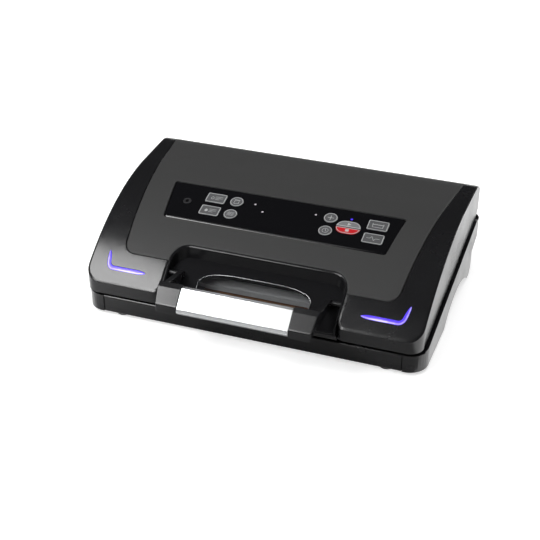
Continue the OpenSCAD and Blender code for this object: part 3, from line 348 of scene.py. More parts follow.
# %% [markdown]
# ## What the finishes share
# Moulded plastic is never one flat colour: it has a fine grain from the tool, slow
# drifts in gloss where hands and cloths have been, and a little dust. Each of these is a
# node group with its own inputs, built once and placed in every finish that shows it.


# %% Node group helpers
def new_group(name, inputs, outputs):
    group = bpy.data.node_groups.new(name, "ShaderNodeTree")
    for label, kind, start in inputs:
        socket = group.interface.new_socket(name=label, in_out="INPUT", socket_type=kind)
        socket.default_value = start
    for label, kind in outputs:
        group.interface.new_socket(name=label, in_out="OUTPUT", socket_type=kind)
    return group, group.nodes.new("NodeGroupInput"), group.nodes.new("NodeGroupOutput")


def math_node(tree, how, a, b=None, c=None):
    node = tree.nodes.new("ShaderNodeMath")
    node.operation = how
    for slot, value in enumerate((a, b, c)):
        if value is None:
            continue
        if isinstance(value, (int, float)):
            node.inputs[slot].default_value = value
        else:
            tree.links.new(value, node.inputs[slot])
    return node.outputs[0]


def range_node(tree, value, *limits):
    """Turns one range of values into another, given as from, from, to and to."""
    node = tree.nodes.new("ShaderNodeMapRange")
    for label, limit in zip(("From Min", "From Max", "To Min", "To Max"), limits):
        node.inputs[label].default_value = limit
    tree.links.new(value, node.inputs["Value"])
    return node


def along_axis(tree, where, axis):
    split = tree.nodes.new("ShaderNodeSeparateXYZ")
    tree.links.new(where, split.inputs[0])
    return split.outputs[axis]


def dial(shader, **values):
    """Sets plain values on a shader's own sockets."""
    for key, value in values.items():
        shader.inputs[key.replace("_", " ")].default_value = value


def noise_node(tree, where, scale, detail=3.0):
    node = tree.nodes.new("ShaderNodeTexNoise")
    node.inputs["Detail"].default_value = detail
    tree.links.new(where, node.inputs["Vector"])
    if isinstance(scale, (int, float)):
        node.inputs["Scale"].default_value = scale
    else:
        tree.links.new(scale, node.inputs["Scale"])
    return node.outputs["Fac"]


FLOAT, COLOR, VECTOR = "NodeSocketFloat", "NodeSocketColor", "NodeSocketVector"

# %% Moulded grain
grain, g_in, g_out = new_group(
    "moulded grain",
    [("Where", VECTOR, (0, 0, 0)), ("Cells per metre", FLOAT, 1500.0),
     ("Roughness", FLOAT, 0.4), ("Spread", FLOAT, 0.08)],
    [("Roughness", FLOAT), ("Height", FLOAT)])
cells = grain.nodes.new("ShaderNodeTexVoronoi")
grain.links.new(g_in.outputs["Where"], cells.inputs["Vector"])
grain.links.new(g_in.outputs["Cells per metre"], cells.inputs["Scale"])
drift = noise_node(grain, g_in.outputs["Where"], 35.0)
swing = math_node(grain, "MULTIPLY_ADD", drift, 2.0, -1.0)
grain.links.new(math_node(grain, "MULTIPLY_ADD", swing, g_in.outputs["Spread"],
                          g_in.outputs["Roughness"]), g_out.inputs["Roughness"])
grain.links.new(cells.outputs["Distance"], g_out.inputs["Height"])

# %% Handling film
film, f_in, f_out = new_group(
    "handling film",
    [("Where", VECTOR, (0, 0, 0)), ("Color", COLOR, (0, 0, 0, 1)), ("Dust", FLOAT, 0.1),
     ("Roughness", FLOAT, 0.1), ("Smudge", FLOAT, 0.1)],
    [("Color", COLOR), ("Roughness", FLOAT)])
patches = noise_node(film, f_in.outputs["Where"], 18.0, 4.0)
specks = noise_node(film, f_in.outputs["Where"], 900.0, 1.0)
soft = range_node(film, patches, 0.45, 0.7)
fine = range_node(film, specks, 0.62, 0.8)
film.links.new(math_node(film, "MULTIPLY_ADD", soft.outputs[0], f_in.outputs["Smudge"],
                         f_in.outputs["Roughness"]), f_out.inputs["Roughness"])
tint = film.nodes.new("ShaderNodeMix")
tint.data_type = "RGBA"
tint.inputs["B"].default_value = (0.32, 0.31, 0.3, 1)
film.links.new(math_node(film, "MULTIPLY", fine.outputs[0], f_in.outputs["Dust"]),
               tint.inputs["Factor"])
film.links.new(f_in.outputs["Color"], tint.inputs["A"])
film.links.new(tint.outputs["Result"], f_out.inputs["Color"])

# %% Drawn lines
drawn, d_in, d_out = new_group(
    "drawn lines",
    [("Where", VECTOR, (0, 0, 0)), ("Stretch", VECTOR, (20, 2500, 2500)),
     ("Roughness", FLOAT, 0.25), ("Spread", FLOAT, 0.12)],
    [("Roughness", FLOAT), ("Height", FLOAT)])
stretch = drawn.nodes.new("ShaderNodeVectorMath")
stretch.operation = "MULTIPLY"
drawn.links.new(d_in.outputs["Where"], stretch.inputs[0])
drawn.links.new(d_in.outputs["Stretch"], stretch.inputs[1])
lines = noise_node(drawn, stretch.outputs[0], 1.0, 2.0)
line_swing = math_node(drawn, "MULTIPLY_ADD", lines, 2.0, -1.0)
drawn.links.new(math_node(drawn, "MULTIPLY_ADD", line_swing, d_in.outputs["Spread"],
                          d_in.outputs["Roughness"]), d_out.inputs["Roughness"])
drawn.links.new(lines, d_out.inputs["Height"])
print("groups:", [g.name for g in (grain, film, drawn)])

# %% [markdown]
# ## Finishes
# Every finish starts from a base colour and a roughness. Plastic gets the grain and the
# film, metal gets the drawn lines. The gloss itself comes from the shader and the lamps.


# %% Finish maker
def place_group(tree, group, **values):
    node = tree.nodes.new("ShaderNodeGroup")
    node.node_tree = group
    for key, value in values.items():
        socket = node.inputs[key.replace("_", " ")]
        if isinstance(value, bpy.types.NodeSocket):
            tree.links.new(value, socket)
        else:
            socket.default_value = value
    return node


def start_finish(name):
    made = bpy.data.materials.new(name)
    made.use_nodes = True
    tree = made.node_tree
    where = tree.nodes.new("ShaderNodeTexCoord").outputs["Object"]
    return made, tree, tree.nodes["Principled BSDF"], where


def bump_from(tree, shader, height, depth, strength=0.6):
    bump = tree.nodes.new("ShaderNodeBump")
    bump.inputs["Distance"].default_value = depth
    bump.inputs["Strength"].default_value = strength
    tree.links.new(height, bump.inputs["Height"])
    tree.links.new(bump.outputs["Normal"], shader.inputs["Normal"])


def worn(name, group, color, dust, smudge, **values):
    """A finish with one of the textures above and the handling film over it."""
    made, tree, shader, where = start_finish(name)
    texture = place_group(tree, group, Where=where, **values)
    wear = place_group(tree, film, Where=where, Color=(*color, 1), Dust=dust, Smudge=smudge,
                       Roughness=texture.outputs["Roughness"])
    tree.links.new(wear.outputs["Color"], shader.inputs["Base Color"])
    tree.links.new(wear.outputs["Roughness"], shader.inputs["Roughness"])
    return made, tree, shader, texture.outputs["Height"]


def plastic(name, color, rough, spread=0.05, cells=1600.0, depth=2e-5, dust=0.03, smudge=0.05,
            level=0.5):
    made, tree, shader, height = worn(name, grain, color, dust, smudge, Roughness=rough,
                                      Spread=spread, Cells_per_metre=cells)
    dial(shader, Specular_IOR_Level=level)
    if depth:
        bump_from(tree, shader, height, depth)
    return made


def metal(name, color, rough, spread=0.08, stretch=(20, 2500, 2500), depth=4e-6):
    made, tree, shader, height = worn(name, drawn, color, 0.05, 0.06, Roughness=rough,
                                      Spread=spread, Stretch=stretch)
    dial(shader, Metallic=1.0)
    bump_from(tree, shader, height, depth, 0.3)
    return made


# %% List the finishes
finish = {
    "black_frame": plastic("satin black moulding", (0.012, 0.012, 0.013), 0.23, level=0.65),
    "matte_cover": plastic("matte dark grey cover", (0.049, 0.049, 0.049), 0.5, 0.03, 2200.0,
                           3e-5, 0.02, 0.03, level=0.25),
    "gloss_black": plastic("gloss black plate", (0.006, 0.006, 0.007), 0.06, 0.02, 400.0, 0,
                           0.015, 0.05),
    "pan_black": plastic("gloss black pan", (0.011, 0.011, 0.012), 0.09, 0.02, 400.0, 0,
                         0.01, 0.02, level=0.2),
    "dark_plastic": plastic("dark inner moulding", (0.028, 0.028, 0.03), 0.45, depth=4e-5),
    "rubber_black": plastic("foot rubber", (0.018, 0.018, 0.018), 0.75, 0.05, 900.0, 6e-5, 0.12),
    "gasket_foam": plastic("gasket foam", (0.05, 0.05, 0.052), 0.85, 0.05, 1400.0, 1.5e-4, 0.05),
    "press_silicone": plastic("press strip silicone", (0.25, 0.1, 0.05), 0.55, dust=0.04),
    "tape_brown": plastic("coated glass cloth", (0.3, 0.16, 0.07), 0.4, 0.06, 2600.0, 8e-5),
    "carrier_board": plastic("carrier laminate", (0.33, 0.29, 0.23), 0.6),
    "key_grey": plastic("key grey", (0.09, 0.092, 0.095), 0.38, dust=0.02),
    "key_light_grey": plastic("key light grey", (0.19, 0.193, 0.197), 0.38, dust=0.02),
    "key_red": plastic("key red", (0.56, 0.012, 0.018), 0.3, dust=0.01),
    "board_green": plastic("board solder mask", (0.012, 0.09, 0.04), 0.35, 0.05, 700.0, 5e-5),
    "heater_wire": metal("rolled heating strip", (0.55, 0.5, 0.42), 0.3),
    "steel": metal("plated steel", (0.58, 0.59, 0.6), 0.28),
    "black_steel": plastic("blackened steel", (0.014, 0.014, 0.015), 0.32),
    "aluminium": metal("drawn aluminium", (0.83, 0.84, 0.85), 0.2, 0.04, depth=1.2e-6),
    "satin_channel": plastic("satin silver channel", (0.62, 0.63, 0.64), 0.4, depth=1e-5),
    "copper": metal("varnished winding", (0.5, 0.2, 0.08), 0.35, stretch=(900, 900, 4000)),
    "brass": metal("turned brass", (0.7, 0.5, 0.2), 0.25),
}
print("finishes:", len(finish))

# %% [markdown]
# Four finishes let light through or give it off: the window pane, the hose, the light
# strips and the small lenses. The pane is clear acrylic, thin enough to be drawn with
# plain see-through and no bending of light. The strips glow nearly white along their
# front, most of all where the diodes stand, and deep violet behind.

# %% Clear and lit finishes
pane, tree, shader, where = start_finish("clear acrylic pane")
dial(shader, Base_Color=(0.03, 0.03, 0.032, 1), Alpha=0.2, Specular_IOR_Level=0.8)
wear = place_group(tree, film, Where=where, Roughness=0.03, Smudge=0.04)
tree.links.new(wear.outputs["Roughness"], shader.inputs["Roughness"])
finish["window_clear"] = pane

hose, tree, shader, where = start_finish("translucent silicone hose")
dial(shader, Subsurface_Weight=0.3)
wear = place_group(tree, film, Where=where, Color=(0.72, 0.7, 0.64, 1), Roughness=0.45,
                   Smudge=0.1)
tree.links.new(wear.outputs["Color"], shader.inputs["Base Color"])
tree.links.new(wear.outputs["Roughness"], shader.inputs["Roughness"])
finish["hose_clear"] = hose

violet, tree, shader, where = start_finish("lit violet strip")
across = tree.nodes.new("ShaderNodeAttribute")
across.attribute_name = "core"
DIODE_X, DIODE_REACH = 0.144, 0.014
side_x = math_node(tree, "ABSOLUTE", along_axis(tree, where, "X"))
off = math_node(tree, "ABSOLUTE", math_node(tree, "SUBTRACT", side_x, DIODE_X))
share = math_node(tree, "DIVIDE", off, DIODE_REACH)
near = math_node(tree, "MAXIMUM", math_node(tree, "SUBTRACT", 1.0, share), 0.0)
ripple = noise_node(tree, where, 160.0, 1.0)
glow = math_node(tree, "MULTIPLY", across.outputs["Fac"],
                 math_node(tree, "MULTIPLY_ADD", ripple, 0.7, 0.55))
spot = math_node(tree, "MULTIPLY", near, math_node(tree, "MULTIPLY", across.outputs["Fac"], 0.6))
glow = math_node(tree, "ADD", glow, spot)
ramp = tree.nodes.new("ShaderNodeValToRGB")
ramp.color_ramp.elements[0].color = (0.035, 0.012, 0.62, 1)
ramp.color_ramp.elements[1].color = (0.86, 0.8, 1.0, 1)
for stop, tone in ((0.4, (0.14, 0.08, 0.9, 1)), (0.75, (0.45, 0.34, 1.0, 1))):
    ramp.color_ramp.elements.new(stop).color = tone
tree.links.new(glow, ramp.inputs["Fac"])
tree.links.new(ramp.outputs["Color"], shader.inputs["Emission Color"])
dial(shader, Emission_Strength=1.0, Base_Color=(0.05, 0.03, 0.4, 1), Roughness=0.3)
finish["light_violet"] = violet

lens, tree, shader, where = start_finish("indicator lenses")
which = tree.nodes.new("ShaderNodeMix")
which.data_type = "RGBA"
which.inputs["A"].default_value = (0.3, 0.28, 0.3, 1)
which.inputs["B"].default_value = (0.06, 0.03, 0.9, 1)
BLUE_FROM_X = 0.06
tree.links.new(math_node(tree, "GREATER_THAN", along_axis(tree, where, "X"), BLUE_FROM_X),
               which.inputs["Factor"])
tree.links.new(which.outputs["Result"], shader.inputs["Emission Color"])
tree.links.new(which.outputs["Result"], shader.inputs["Base Color"])
dial(shader, Emission_Strength=0.8)
finish["lens_blue"] = lens
finish["key_line"] = plastic("printed light grey", (0.5, 0.505, 0.51), 0.45, dust=0.0)
slots = {part["node"]: part["material_slot"] for part in frame["record"]["subparts"]}
for name, obj in nodes.items():
    obj.data.materials.clear()
    obj.data.materials.append(finish["satin_channel" if name == "press_bar" else slots[name]])
print("slots used:", len(set(slots.values())))

# %% [markdown]
# ## Floor and light
# The machine stands on a white sheet in a room that is white near the horizon and dark
# overhead, so that gloss black stays black on top while steep sides and rounded edges
# turn pale. One large softbox hangs to the front left, where the near corner reflects it,
# and narrow lamps beside it draw the bright lines on the lid's edges and fill the silver
# bar. A grey card lies in front, as in a studio: only reflections see it, and it keeps
# the upright black faces from mirroring white paper.

# %% Floor
FLOOR_HALF = 1.6


def laid_sheet(name, x0, y0, x1, y1, z):
    """A flat four-cornered sheet at one height."""
    mesh = bpy.data.meshes.new(name)
    mesh.from_pydata([(x0, y0, z), (x1, y0, z), (x1, y1, z), (x0, y1, z)], [], [(0, 1, 2, 3)])
    obj = bpy.data.objects.new(name, mesh)
    bpy.context.scene.collection.objects.link(obj)
    return obj


floor = laid_sheet("floor", -FLOOR_HALF, -FLOOR_HALF, FLOOR_HALF, FLOOR_HALF, 0)
paper, tree, shader, where = start_finish("white paper sweep")
dial(shader, Base_Color=(0.84, 0.84, 0.84, 1), Roughness=0.9, Specular_IOR_Level=0.0,
     Emission_Color=(1, 1, 1, 1))
light_path = tree.nodes.new("ShaderNodeLightPath")
PAPER_LIFT, PAPER_GLOSS, FADE_FROM, FADE_TO = 0.6, 0.8, 0.5, 1.3
mirrored_rays = math_node(tree, "MAXIMUM", light_path.outputs["Is Glossy Ray"],
                          light_path.outputs["Is Transmission Ray"])
in_mirror = math_node(tree, "MULTIPLY", mirrored_rays, PAPER_GLOSS)
away = tree.nodes.new("ShaderNodeVectorMath")
away.operation = "LENGTH"
tree.links.new(where, away.inputs[0])
lift = range_node(tree, away.outputs["Value"], FADE_FROM, FADE_TO, PAPER_LIFT, 1.0)
tree.links.new(math_node(tree, "MULTIPLY_ADD", light_path.outputs["Is Camera Ray"],
                         lift.outputs[0], in_mirror), shader.inputs["Emission Strength"])
floor.data.materials.append(paper)

# %% Grey card
card = laid_sheet("grey_card", -0.8, -0.5, 0.23, -0.106, 0.0008)
card.visible_camera = card.visible_diffuse = card.visible_shadow = False
card.visible_transmission = False
card_finish, tree, shader, where = start_finish("grey card")
fade = range_node(tree, along_axis(tree, where, "X"), -0.22, -0.1, 0.8, 0.3)
tree.links.new(fade.outputs[0], shader.inputs["Base Color"])
dial(shader, Roughness=1.0)
card.data.materials.append(card_finish)
print("floor", 2 * FLOOR_HALF, "m wide")

# %% World
world = bpy.data.worlds.new("room")
world.use_nodes = True
bpy.context.scene.world = world
tree = world.node_tree
background = tree.nodes["Background"]
background.inputs["Color"].default_value = (1, 1, 1, 1)
direction = tree.nodes.new("ShaderNodeTexCoord").outputs["Generated"]
DUSK_LOW, DUSK_HIGH, OVERHEAD = 0.02, 0.2, 0.0015
dusk = range_node(tree, along_axis(tree, direction, "Z"), DUSK_LOW, DUSK_HIGH, 1.0, OVERHEAD)
dusk.interpolation_type = "SMOOTHSTEP"
rays = tree.nodes.new("ShaderNodeLightPath")
ROOM_FILL = 0.028
seen = math_node(tree, "MAXIMUM", rays.outputs["Is Camera Ray"],
                 rays.outputs["Is Transmission Ray"])
gloss = math_node(tree, "MULTIPLY", rays.outputs["Is Glossy Ray"], dusk.outputs[0])
not_gloss = math_node(tree, "SUBTRACT", 1.0, rays.outputs["Is Glossy Ray"])
other = math_node(tree, "MULTIPLY", not_gloss, ROOM_FILL)
tree.links.new(math_node(tree, "MAXIMUM", seen, math_node(tree, "ADD", gloss, other)),
               background.inputs["Strength"])
bpy.context.scene.view_settings.view_transform = "Standard"


# %% Lamps
def softbox(name, place, aim, width, height, watts, glossy=True):
    lamp = bpy.data.lights.new(name, "AREA")
    lamp.shape = "RECTANGLE"
    lamp.size, lamp.size_y, lamp.energy = width, height, watts
    obj = bpy.data.objects.new(name, lamp)
    bpy.context.scene.collection.objects.link(obj)
    obj.location = place
    obj.rotation_euler = (Vector(aim) - Vector(place)).to_track_quat("-Z", "Y").to_euler()
    obj.visible_glossy = glossy
    return obj


softbox("key softbox", (-0.69, -0.5, 1.08), (-0.12, -0.1, 0.06), 0.56, 0.52, 7.8)
softbox("edge strip", (-0.59, -0.97, 0.9), (-0.12, -0.12, 0.06), 0.68, 0.18, 5.6)
softbox("bar edge card", (-0.34, 0.3, 1.13), (0, -0.13, 0.075), 0.27, 0.14, 0.1)
softbox("bar card", (-0.38, -0.74, 1.05), (0, -0.144, 0.067), 0.52, 0.42, 0.72)
softbox("rear edge light", (1.0, 1.12, 0.37), (0.19, 0.1, 0.1), 0.4, 0.4, 8.0)
softbox("overhead fill", (0.35, 0.35, 1.9), (0, 0, 0), 1.4, 1.4, 18.0, glossy=False)
print("lamps placed")

# %% [markdown]
# ## Lid frame
# The frame is one moulding: a border round the cover, the lid's walls, and two arms that
# run forward to each side of the handle's recess. It is drawn as one closed outline with
# a soft outer edge, and the light strips sit in slots in it.

# %% Light strip outline
SLOT_GAP = 0.12
STRIP_END, STRIP_HALF, TAPER_L, STRIP_LEAST = 0.3, 1.7, 9.0, 0.08


def light_outline(grow=0.0):
    """An L with pointed ends that follows the lid's front corner."""
    middle = [(124 + i * 2.8, 10.0) for i in range(15)]
    middle += arc(163.4, 17, 7, -90, -15.6, 8)
    middle += [(170.14 + i * 0.66, 15.12 + i * 2.38) for i in range(1, 6)]
    line = np.array(middle)
    along = np.gradient(line, axis=0)
    along /= np.linalg.norm(along, axis=1)[:, None]
    side = np.stack([along[:, 1], -along[:, 0]], axis=1)
    run = np.r_[0, np.cumsum(np.linalg.norm(np.diff(line, axis=0), axis=1))]
    taper = np.minimum(1.0, np.minimum(run, run[-1] - run) / TAPER_L)
    half = STRIP_END + STRIP_HALF * np.sqrt(taper)
    wide = np.maximum(half + grow, STRIP_LEAST)[:, None]
    return [tuple(p) for p in line + side * wide] + [tuple(p) for p in (line - side * wide)[::-1]]


# %% Frame outline
BEND_R, RIM_GAP = 8.0, 0.15


def frame_loop(inset, grow):
    """The frame's outline, drawn in from outside by one size and from the cover by another."""
    x = recess_x(LID_FRONT + BEND_R) + RIM_GAP
    bend = arc(x + BEND_R, LID_FRONT + BEND_R, BEND_R - inset, 180, 270, 6)
    corner = lid_outline(inset)
    right = bend + between(bend[-1], corner[0], 12) + corner
    rear = [(px, corner[-1][1]) for px in REAR_STOPS]
    cover = cover_outline(grow)
    start = (recess_x(cover[0][1]) + RIM_GAP + inset, cover[0][1])
    inner = [start] + between(start, cover[0], 8) + cover
    back = between((-inner[-1][0], inner[-1][1]), inner[-1], 40)
    left = mirrored(right)
    left_join = between(left[-1], (-start[0], start[1]), 6)
    right_join = between(start, right[0], 6)
    outer = right + rear + left
    cover_side = [(-px, py) for px, py in inner] + back + inner[::-1]
    path = outer + left_join + cover_side + right_join
    tags = "o" * len(outer) + "j" * len(left_join) + "i" * len(cover_side) + "j" * len(right_join)
    return path, tags


NOTCH = (120.9, 121.1, 158.9, 159.1)
NOTCH_Z, REAR_EDGE_Z, REAR_RISE_FROM, REAR_RISE_L = 84.5, 80.0, 244, 13
REAR_STOPS = sorted([170, 140, 90, 60, 30, 0, -30, -60, -90, -140, -170,
                     *NOTCH, *(-x for x in NOTCH)], reverse=True)


def frame_low(x, y):
    """The lid's lower edge, with the rear edge's notches for the hinges."""
    if y > LID_REAR - 3:
        return NOTCH_Z if NOTCH[1] - 0.05 < abs(x) < NOTCH[2] + 0.05 else REAR_EDGE_Z
    if y > REAR_RISE_FROM:
        start = edge_z(REAR_RISE_FROM)
        return start + (y - REAR_RISE_FROM) / REAR_RISE_L * (REAR_EDGE_Z - start)
    return edge_z(y)


# %% Build the lid frame
def rear_rows():
    """Extra points where the roof turns down, closer together as it gets steeper."""
    turn = np.radians(np.arange(4, 72, 5.5))
    return [(x, LID_REAR - REAR_R + REAR_R * math.sin(a)) for a in turn
            for x in range(-192, 193, 12)]


def frame_ring(inset, grow, outer_z, inner_z, clear=0.6):
    path, tags = frame_loop(inset, grow)
    joint_z = {"o": lambda x, y: max(outer_z(x, y), frame_low(x, y) + clear),
               "i": inner_z,
               "j": lambda x, y: max(outer_z(x, y), roof(x, y) - WALL)}
    return [(x, y, joint_z[t](x, y)) for (x, y), t in zip(path, tags)]


def under(drop):
    return lambda x, y: roof(x, y) - drop


OUTER_EDGE = ((2.3, 0), (2.1, 0.03), (0.35, 0.7), (0.1, 0.95), (0, 1.3))
GROOVE_R = 0.7
shell = Shell()
rings = [frame_ring(a, b, under(c), under(d))
         for (a, c), (b, d) in zip(OUTER_EDGE, fillet(GROOVE_R))]
rings += [frame_ring(0, 0, frame_low, under(1.5)),
          frame_ring(0.6, 0, frame_low, under(2.0), 0.0),
          frame_ring(WALL, 0, frame_low, under(2.2), 0.0),
          frame_ring(WALL, 0, under(WALL), under(WALL))]
top, bottom = shell.stack(rings)
slots_top, slots_bottom = [], []
for turn in (lambda p: p, mirrored):
    sides = [raised(turn(light_outline(SLOT_GAP + g)), under(d))
             for g, d in ((0.2, 0), (0.06, 0.06), (0, 0.2), (0, WALL))]
    first, last = shell.stack(sides)
    slots_top.append(first)
    slots_bottom.append(last)
shell.fill([top] + slots_top, roof, extra=rear_rows())
shell.fill([bottom] + slots_bottom, under(WALL), extra=rear_rows())
shell.rod([raised(rounded_box(2 * w, d, 0.3, 0, LID_FRONT + 1.25, 2), z)
           for w, d, z in ((102.6, 2.1, 31.0), (103, 2.5, 31.4), (103, 2.5, 35.0),
                           (102.6, 2.1, 35.4))])
HINGE_Y, HINGE_Z, PIN_R, KNUCKLE_R, KNUCKLE_ROUND = 247, 76.5, 2.6, 6.0, 0.4
for side in (-1, 1):
    x0, x1 = side * 129.0, side * 151.0
    shell.closed([[(x, HINGE_Y + r * math.cos(a), HINGE_Z + r * math.sin(a))
                   for a in np.linspace(0, 2 * math.pi, 33)[:-1]]
                  for x, r in ((x0, PIN_R), (x0, KNUCKLE_R - KNUCKLE_ROUND),
                               (x0 + side * KNUCKLE_ROUND, KNUCKLE_R),
                               (x1 - side * KNUCKLE_ROUND, KNUCKLE_R),
                               (x1, KNUCKLE_R - KNUCKLE_ROUND), (x1, PIN_R))])
    shell.rod([[(x, y, z) for y, z in ((244.5, 78), (249.5, 78), (249.5, 101.5), (244.5, 105))]
               for x in (x0 + side * 0.3, x1 - side * 0.3)])
lid_frame = shell.make("lid_frame_shell", material=finish["black_frame"])
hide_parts("lid_frame")
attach(lid_frame, "lid")
print("lid frame points:", len(lid_frame.data.vertices))

# %% [markdown]
# ## Cover
# The matte cover drops into the frame and leaves a fine groove all round. It has a notch
# for the recess and a pocket for the key panel.

# %% Panel outline
PANEL_V, PANEL_FRONT_W, PANEL_REAR_W, PANEL_R = 30.5, 261.0, 279.0, 3.5


def panel_outline(grow=0.0):
    right = right_side(PANEL_FRONT_W + 2 * grow, PANEL_REAR_W + 2 * grow, -PANEL_V - grow,
                       PANEL_V + grow, PANEL_R + max(grow, -1), PANEL_R + max(grow, -1), 10)
    return closed_outline(right, 24)


def panel_pocket(grow, height):
    lean = math.cos(math.radians(PANEL_TILT))
    return raised([(x, PANEL_Y + v * lean) for x, v in panel_outline(grow)], height)


# %% Build the cover
COVER_GAP = 0.6


def cover_loop(inset):
    corner = cover_outline(-COVER_GAP - inset)
    y = corner[0][1]
    notch = recess_side(-(RIM_GAP + inset), y)
    right = notch[:1] + between(notch[0], corner[0], 8) + corner
    left = mirrored(right)
    rear = between(right[-1], left[0], 40)
    across = between((-notch[-1][0], notch[-1][1]), notch[-1], 30)
    return (right + rear + left + [(-px, py) for px, py in notch[1:]] + across
            + notch[:0:-1])


shell = Shell()
COVER_T, COVER_R = 2.4, 1.0
top, bottom = shell.stack([raised(cover_loop(d), under(drop)) for d, drop in fillet(COVER_R)]
                          + [raised(cover_loop(0), under(COVER_T))])
pocket_top, pocket_bottom = shell.stack(
    [panel_pocket(0.15 + d, under(drop)) for d, drop in fillet(COVER_R / 2)]
    + [panel_pocket(0.15, under(COVER_T))])
shell.fill([top, pocket_top], roof, extra=rear_rows())
shell.fill([bottom, pocket_bottom], under(COVER_T), extra=rear_rows())
cover = shell.make("lid_cover_skin", material=finish["matte_cover"])
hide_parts("lid_cover")
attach(cover, "lid")
print("cover points:", len(cover.data.vertices))

# %% [markdown]
# ## Handle recess
# A gloss pan that drops into the lid: a rim that slopes inward in flat steps, a steep
# wall, and a sloped floor that meets it in a sharp corner. The steps of the rim are what
# draws the bright line round it: a round edge would spread it out. The handle's shafts
# pass through the side walls, so round holes are cut for them.

# %% Recess outline
RIM_W, FLOOR_T = 4.0, 2.5
RIM_EDGE = ((0.75, 0.0), (0.95, 0.03), (2.05, 0.8), (2.3, 1.2), (2.4, 1.8))
FLOOR_RISE = math.tan(math.radians(FLOOR_TILT))
PIVOT_Y, PIVOT_Z = 22.0, 58.615


def floor_z(x, y):
    return FLOOR_START_Z + (y - LID_FRONT) * FLOOR_RISE


def pan_ring(inset, lip, height, lip_height=None):
    """The pan's outline: its sides and rear at one height, and its open front at another."""
    front = LID_FRONT + lip
    right = recess_side(inset, front, 14, 12)
    left = mirrored(right)
    rear = between(right[-1], left[0], 30)
    x = right[0][0] - 0.3
    mouth = [(px, front) for px in np.linspace(-x, x, 30)]
    return raised(right + rear + left, height) + raised(mouth, lip_height or floor_z)


def floor_down(drop):
    return lambda x, y: floor_z(x, y) - drop


WINDOW_FRONT, WINDOW_END, WINDOW_RISE, WINDOW_HALF = 4.0, 30.0, 15.0, 65.0


def window_outline(grow=0.0, v_scale=1.0):
    """The pane's outline on the floor's slope: a flat-topped arch with round shoulders."""
    x, front, end = WINDOW_HALF + grow, WINDOW_FRONT - grow, WINDOW_END + grow / 2
    shares = [math.sin(math.pi / 2 * i / 20) for i in range(19, -20, -1)]
    path = [(x, front), (x, (front + end) / 2), (x, end)]
    path += [(t * x, WINDOW_END + WINDOW_RISE * math.sqrt(1 - t**4) + grow) for t in shares]
    path += [(-x, end), (-x, (front + end) / 2), (-x, front)] + between((-x, front), (x, front), 24)
    return [(px, v * v_scale) for px, v in path]


FLOOR_COS = math.cos(math.radians(FLOOR_TILT))


def window_hole(grow, height):
    return raised([(x, LID_FRONT + v) for x, v in window_outline(grow, FLOOR_COS)], height)


def cut_round(obj, x0, x1, y, z, r):
    """Cuts a round hole along the width, and keeps the result as the piece's mesh."""
    tool = Shell()
    tool.rod([[(x, y + r * math.cos(a), z + r * math.sin(a))
               for a in np.linspace(0, 2 * math.pi, 41)[:-1]] for x in (x0, x1)])
    cutter = tool.make("cutter")
    hole = obj.modifiers.new("hole", "BOOLEAN")
    hole.object, hole.operation, hole.solver = cutter, "DIFFERENCE", "EXACT"
    bpy.context.view_layer.update()
    cut = bpy.data.meshes.new_from_object(obj.evaluated_get(bpy.context.evaluated_depsgraph_get()))
    obj.modifiers.clear()
    obj.data = cut
    bpy.data.objects.remove(cutter)


# %% Build the recess pan
shell = Shell()
edge = fillet(0.4, 3)
rings = [pan_ring(0, 0, floor_down(FLOOR_T + 0.3), floor_down(FLOOR_T + 0.3))]
rings += [pan_ring(d, 0, under(drop), floor_down(0.9)) for d, drop in edge[::-1]]
rings += [pan_ring(d, 0.1 + 0.1 * i, under(drop), floor_down(0.6 - 0.15 * i))
          for i, (d, drop) in enumerate(RIM_EDGE)]
rings += [pan_ring(RIM_W - 0.7, 1.2, floor_z)]
bottom, top = shell.stack(rings)
hole_top, hole_bottom = shell.stack([window_hole(0.35, floor_z), window_hole(0.1, floor_down(0.25)),
                                     window_hole(0.1, floor_down(FLOOR_T + 0.3))])
shell.fill([top, hole_top], floor_z, 20)
shell.fill([bottom, hole_bottom], floor_down(FLOOR_T + 0.3), 20)
pan = shell.make("recess_pan_form", material=finish["pan_black"])
for side in (-1, 1):
    cut_round(pan, side * 80, side * 120, PIVOT_Y, PIVOT_Z, 2.6)
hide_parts("recess_pan")
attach(pan, "lid")
print("pan points:", len(pan.data.vertices))

# %% [markdown]
# ## Viewing window
# A clear pane set flush in the floor. A thin steel bead round it stands in for the bright line
# along the pane's edge: a painted highlight.
# Below it lies the silver channel of the press bar.

# %% Build the window
shell = Shell()
shell.slab([raised(window_outline(g), z) for g, z in
            ((-0.5, 0.0), (-0.2, -0.02), (0.0, -0.25), (0.0, -1.8), (-0.2, -2.0))],
           level(0.0), level(-2.0), 30)
window = shell.make("window_pane", FLOOR, finish["window_clear"])
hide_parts("viewing_window")
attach(window, "lid")

# A thin steel ring round the pane, which paints the highlight line along its edge
shell = Shell()
shell.closed([raised(window_outline(g), z) for g, z in
              ((0.1, -0.2), (0.1, 0.04), (0.0, 0.07), (-0.2, 0.07), (-0.28, 0.02), (-0.2, 0.0))])
highlight_bead = shell.make("window_highlight_bead", FLOOR, finish["steel"])
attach(highlight_bead, "lid")
print("window points:", len(window.data.vertices))

# %% [markdown]
# ## Key panel
# One gloss plate with a rounded lip and a hole for every key. The keys stand half a
# millimetre proud. Each carries a printed border and a small pictogram in the same
# light grey. The marks are generic: a drop, a jar, waves, a bag, a start and a stop sign.

# %% Key places
ROW_V, ROW_SHIFT, KEY_GAP, KEY_PROUD = 10.8, 1.2, 0.25, 0.5
ROUND_X, OVAL_X, OVAL_SPLIT = 56.3, 79.7, 0.6
MODE_X, SIDE_X, KEY_W, KEY_H, KEY_R, ROUND_R, OVAL_R = -81.5, 111, 23.5, 15.5, 2, 7.8, 10.0


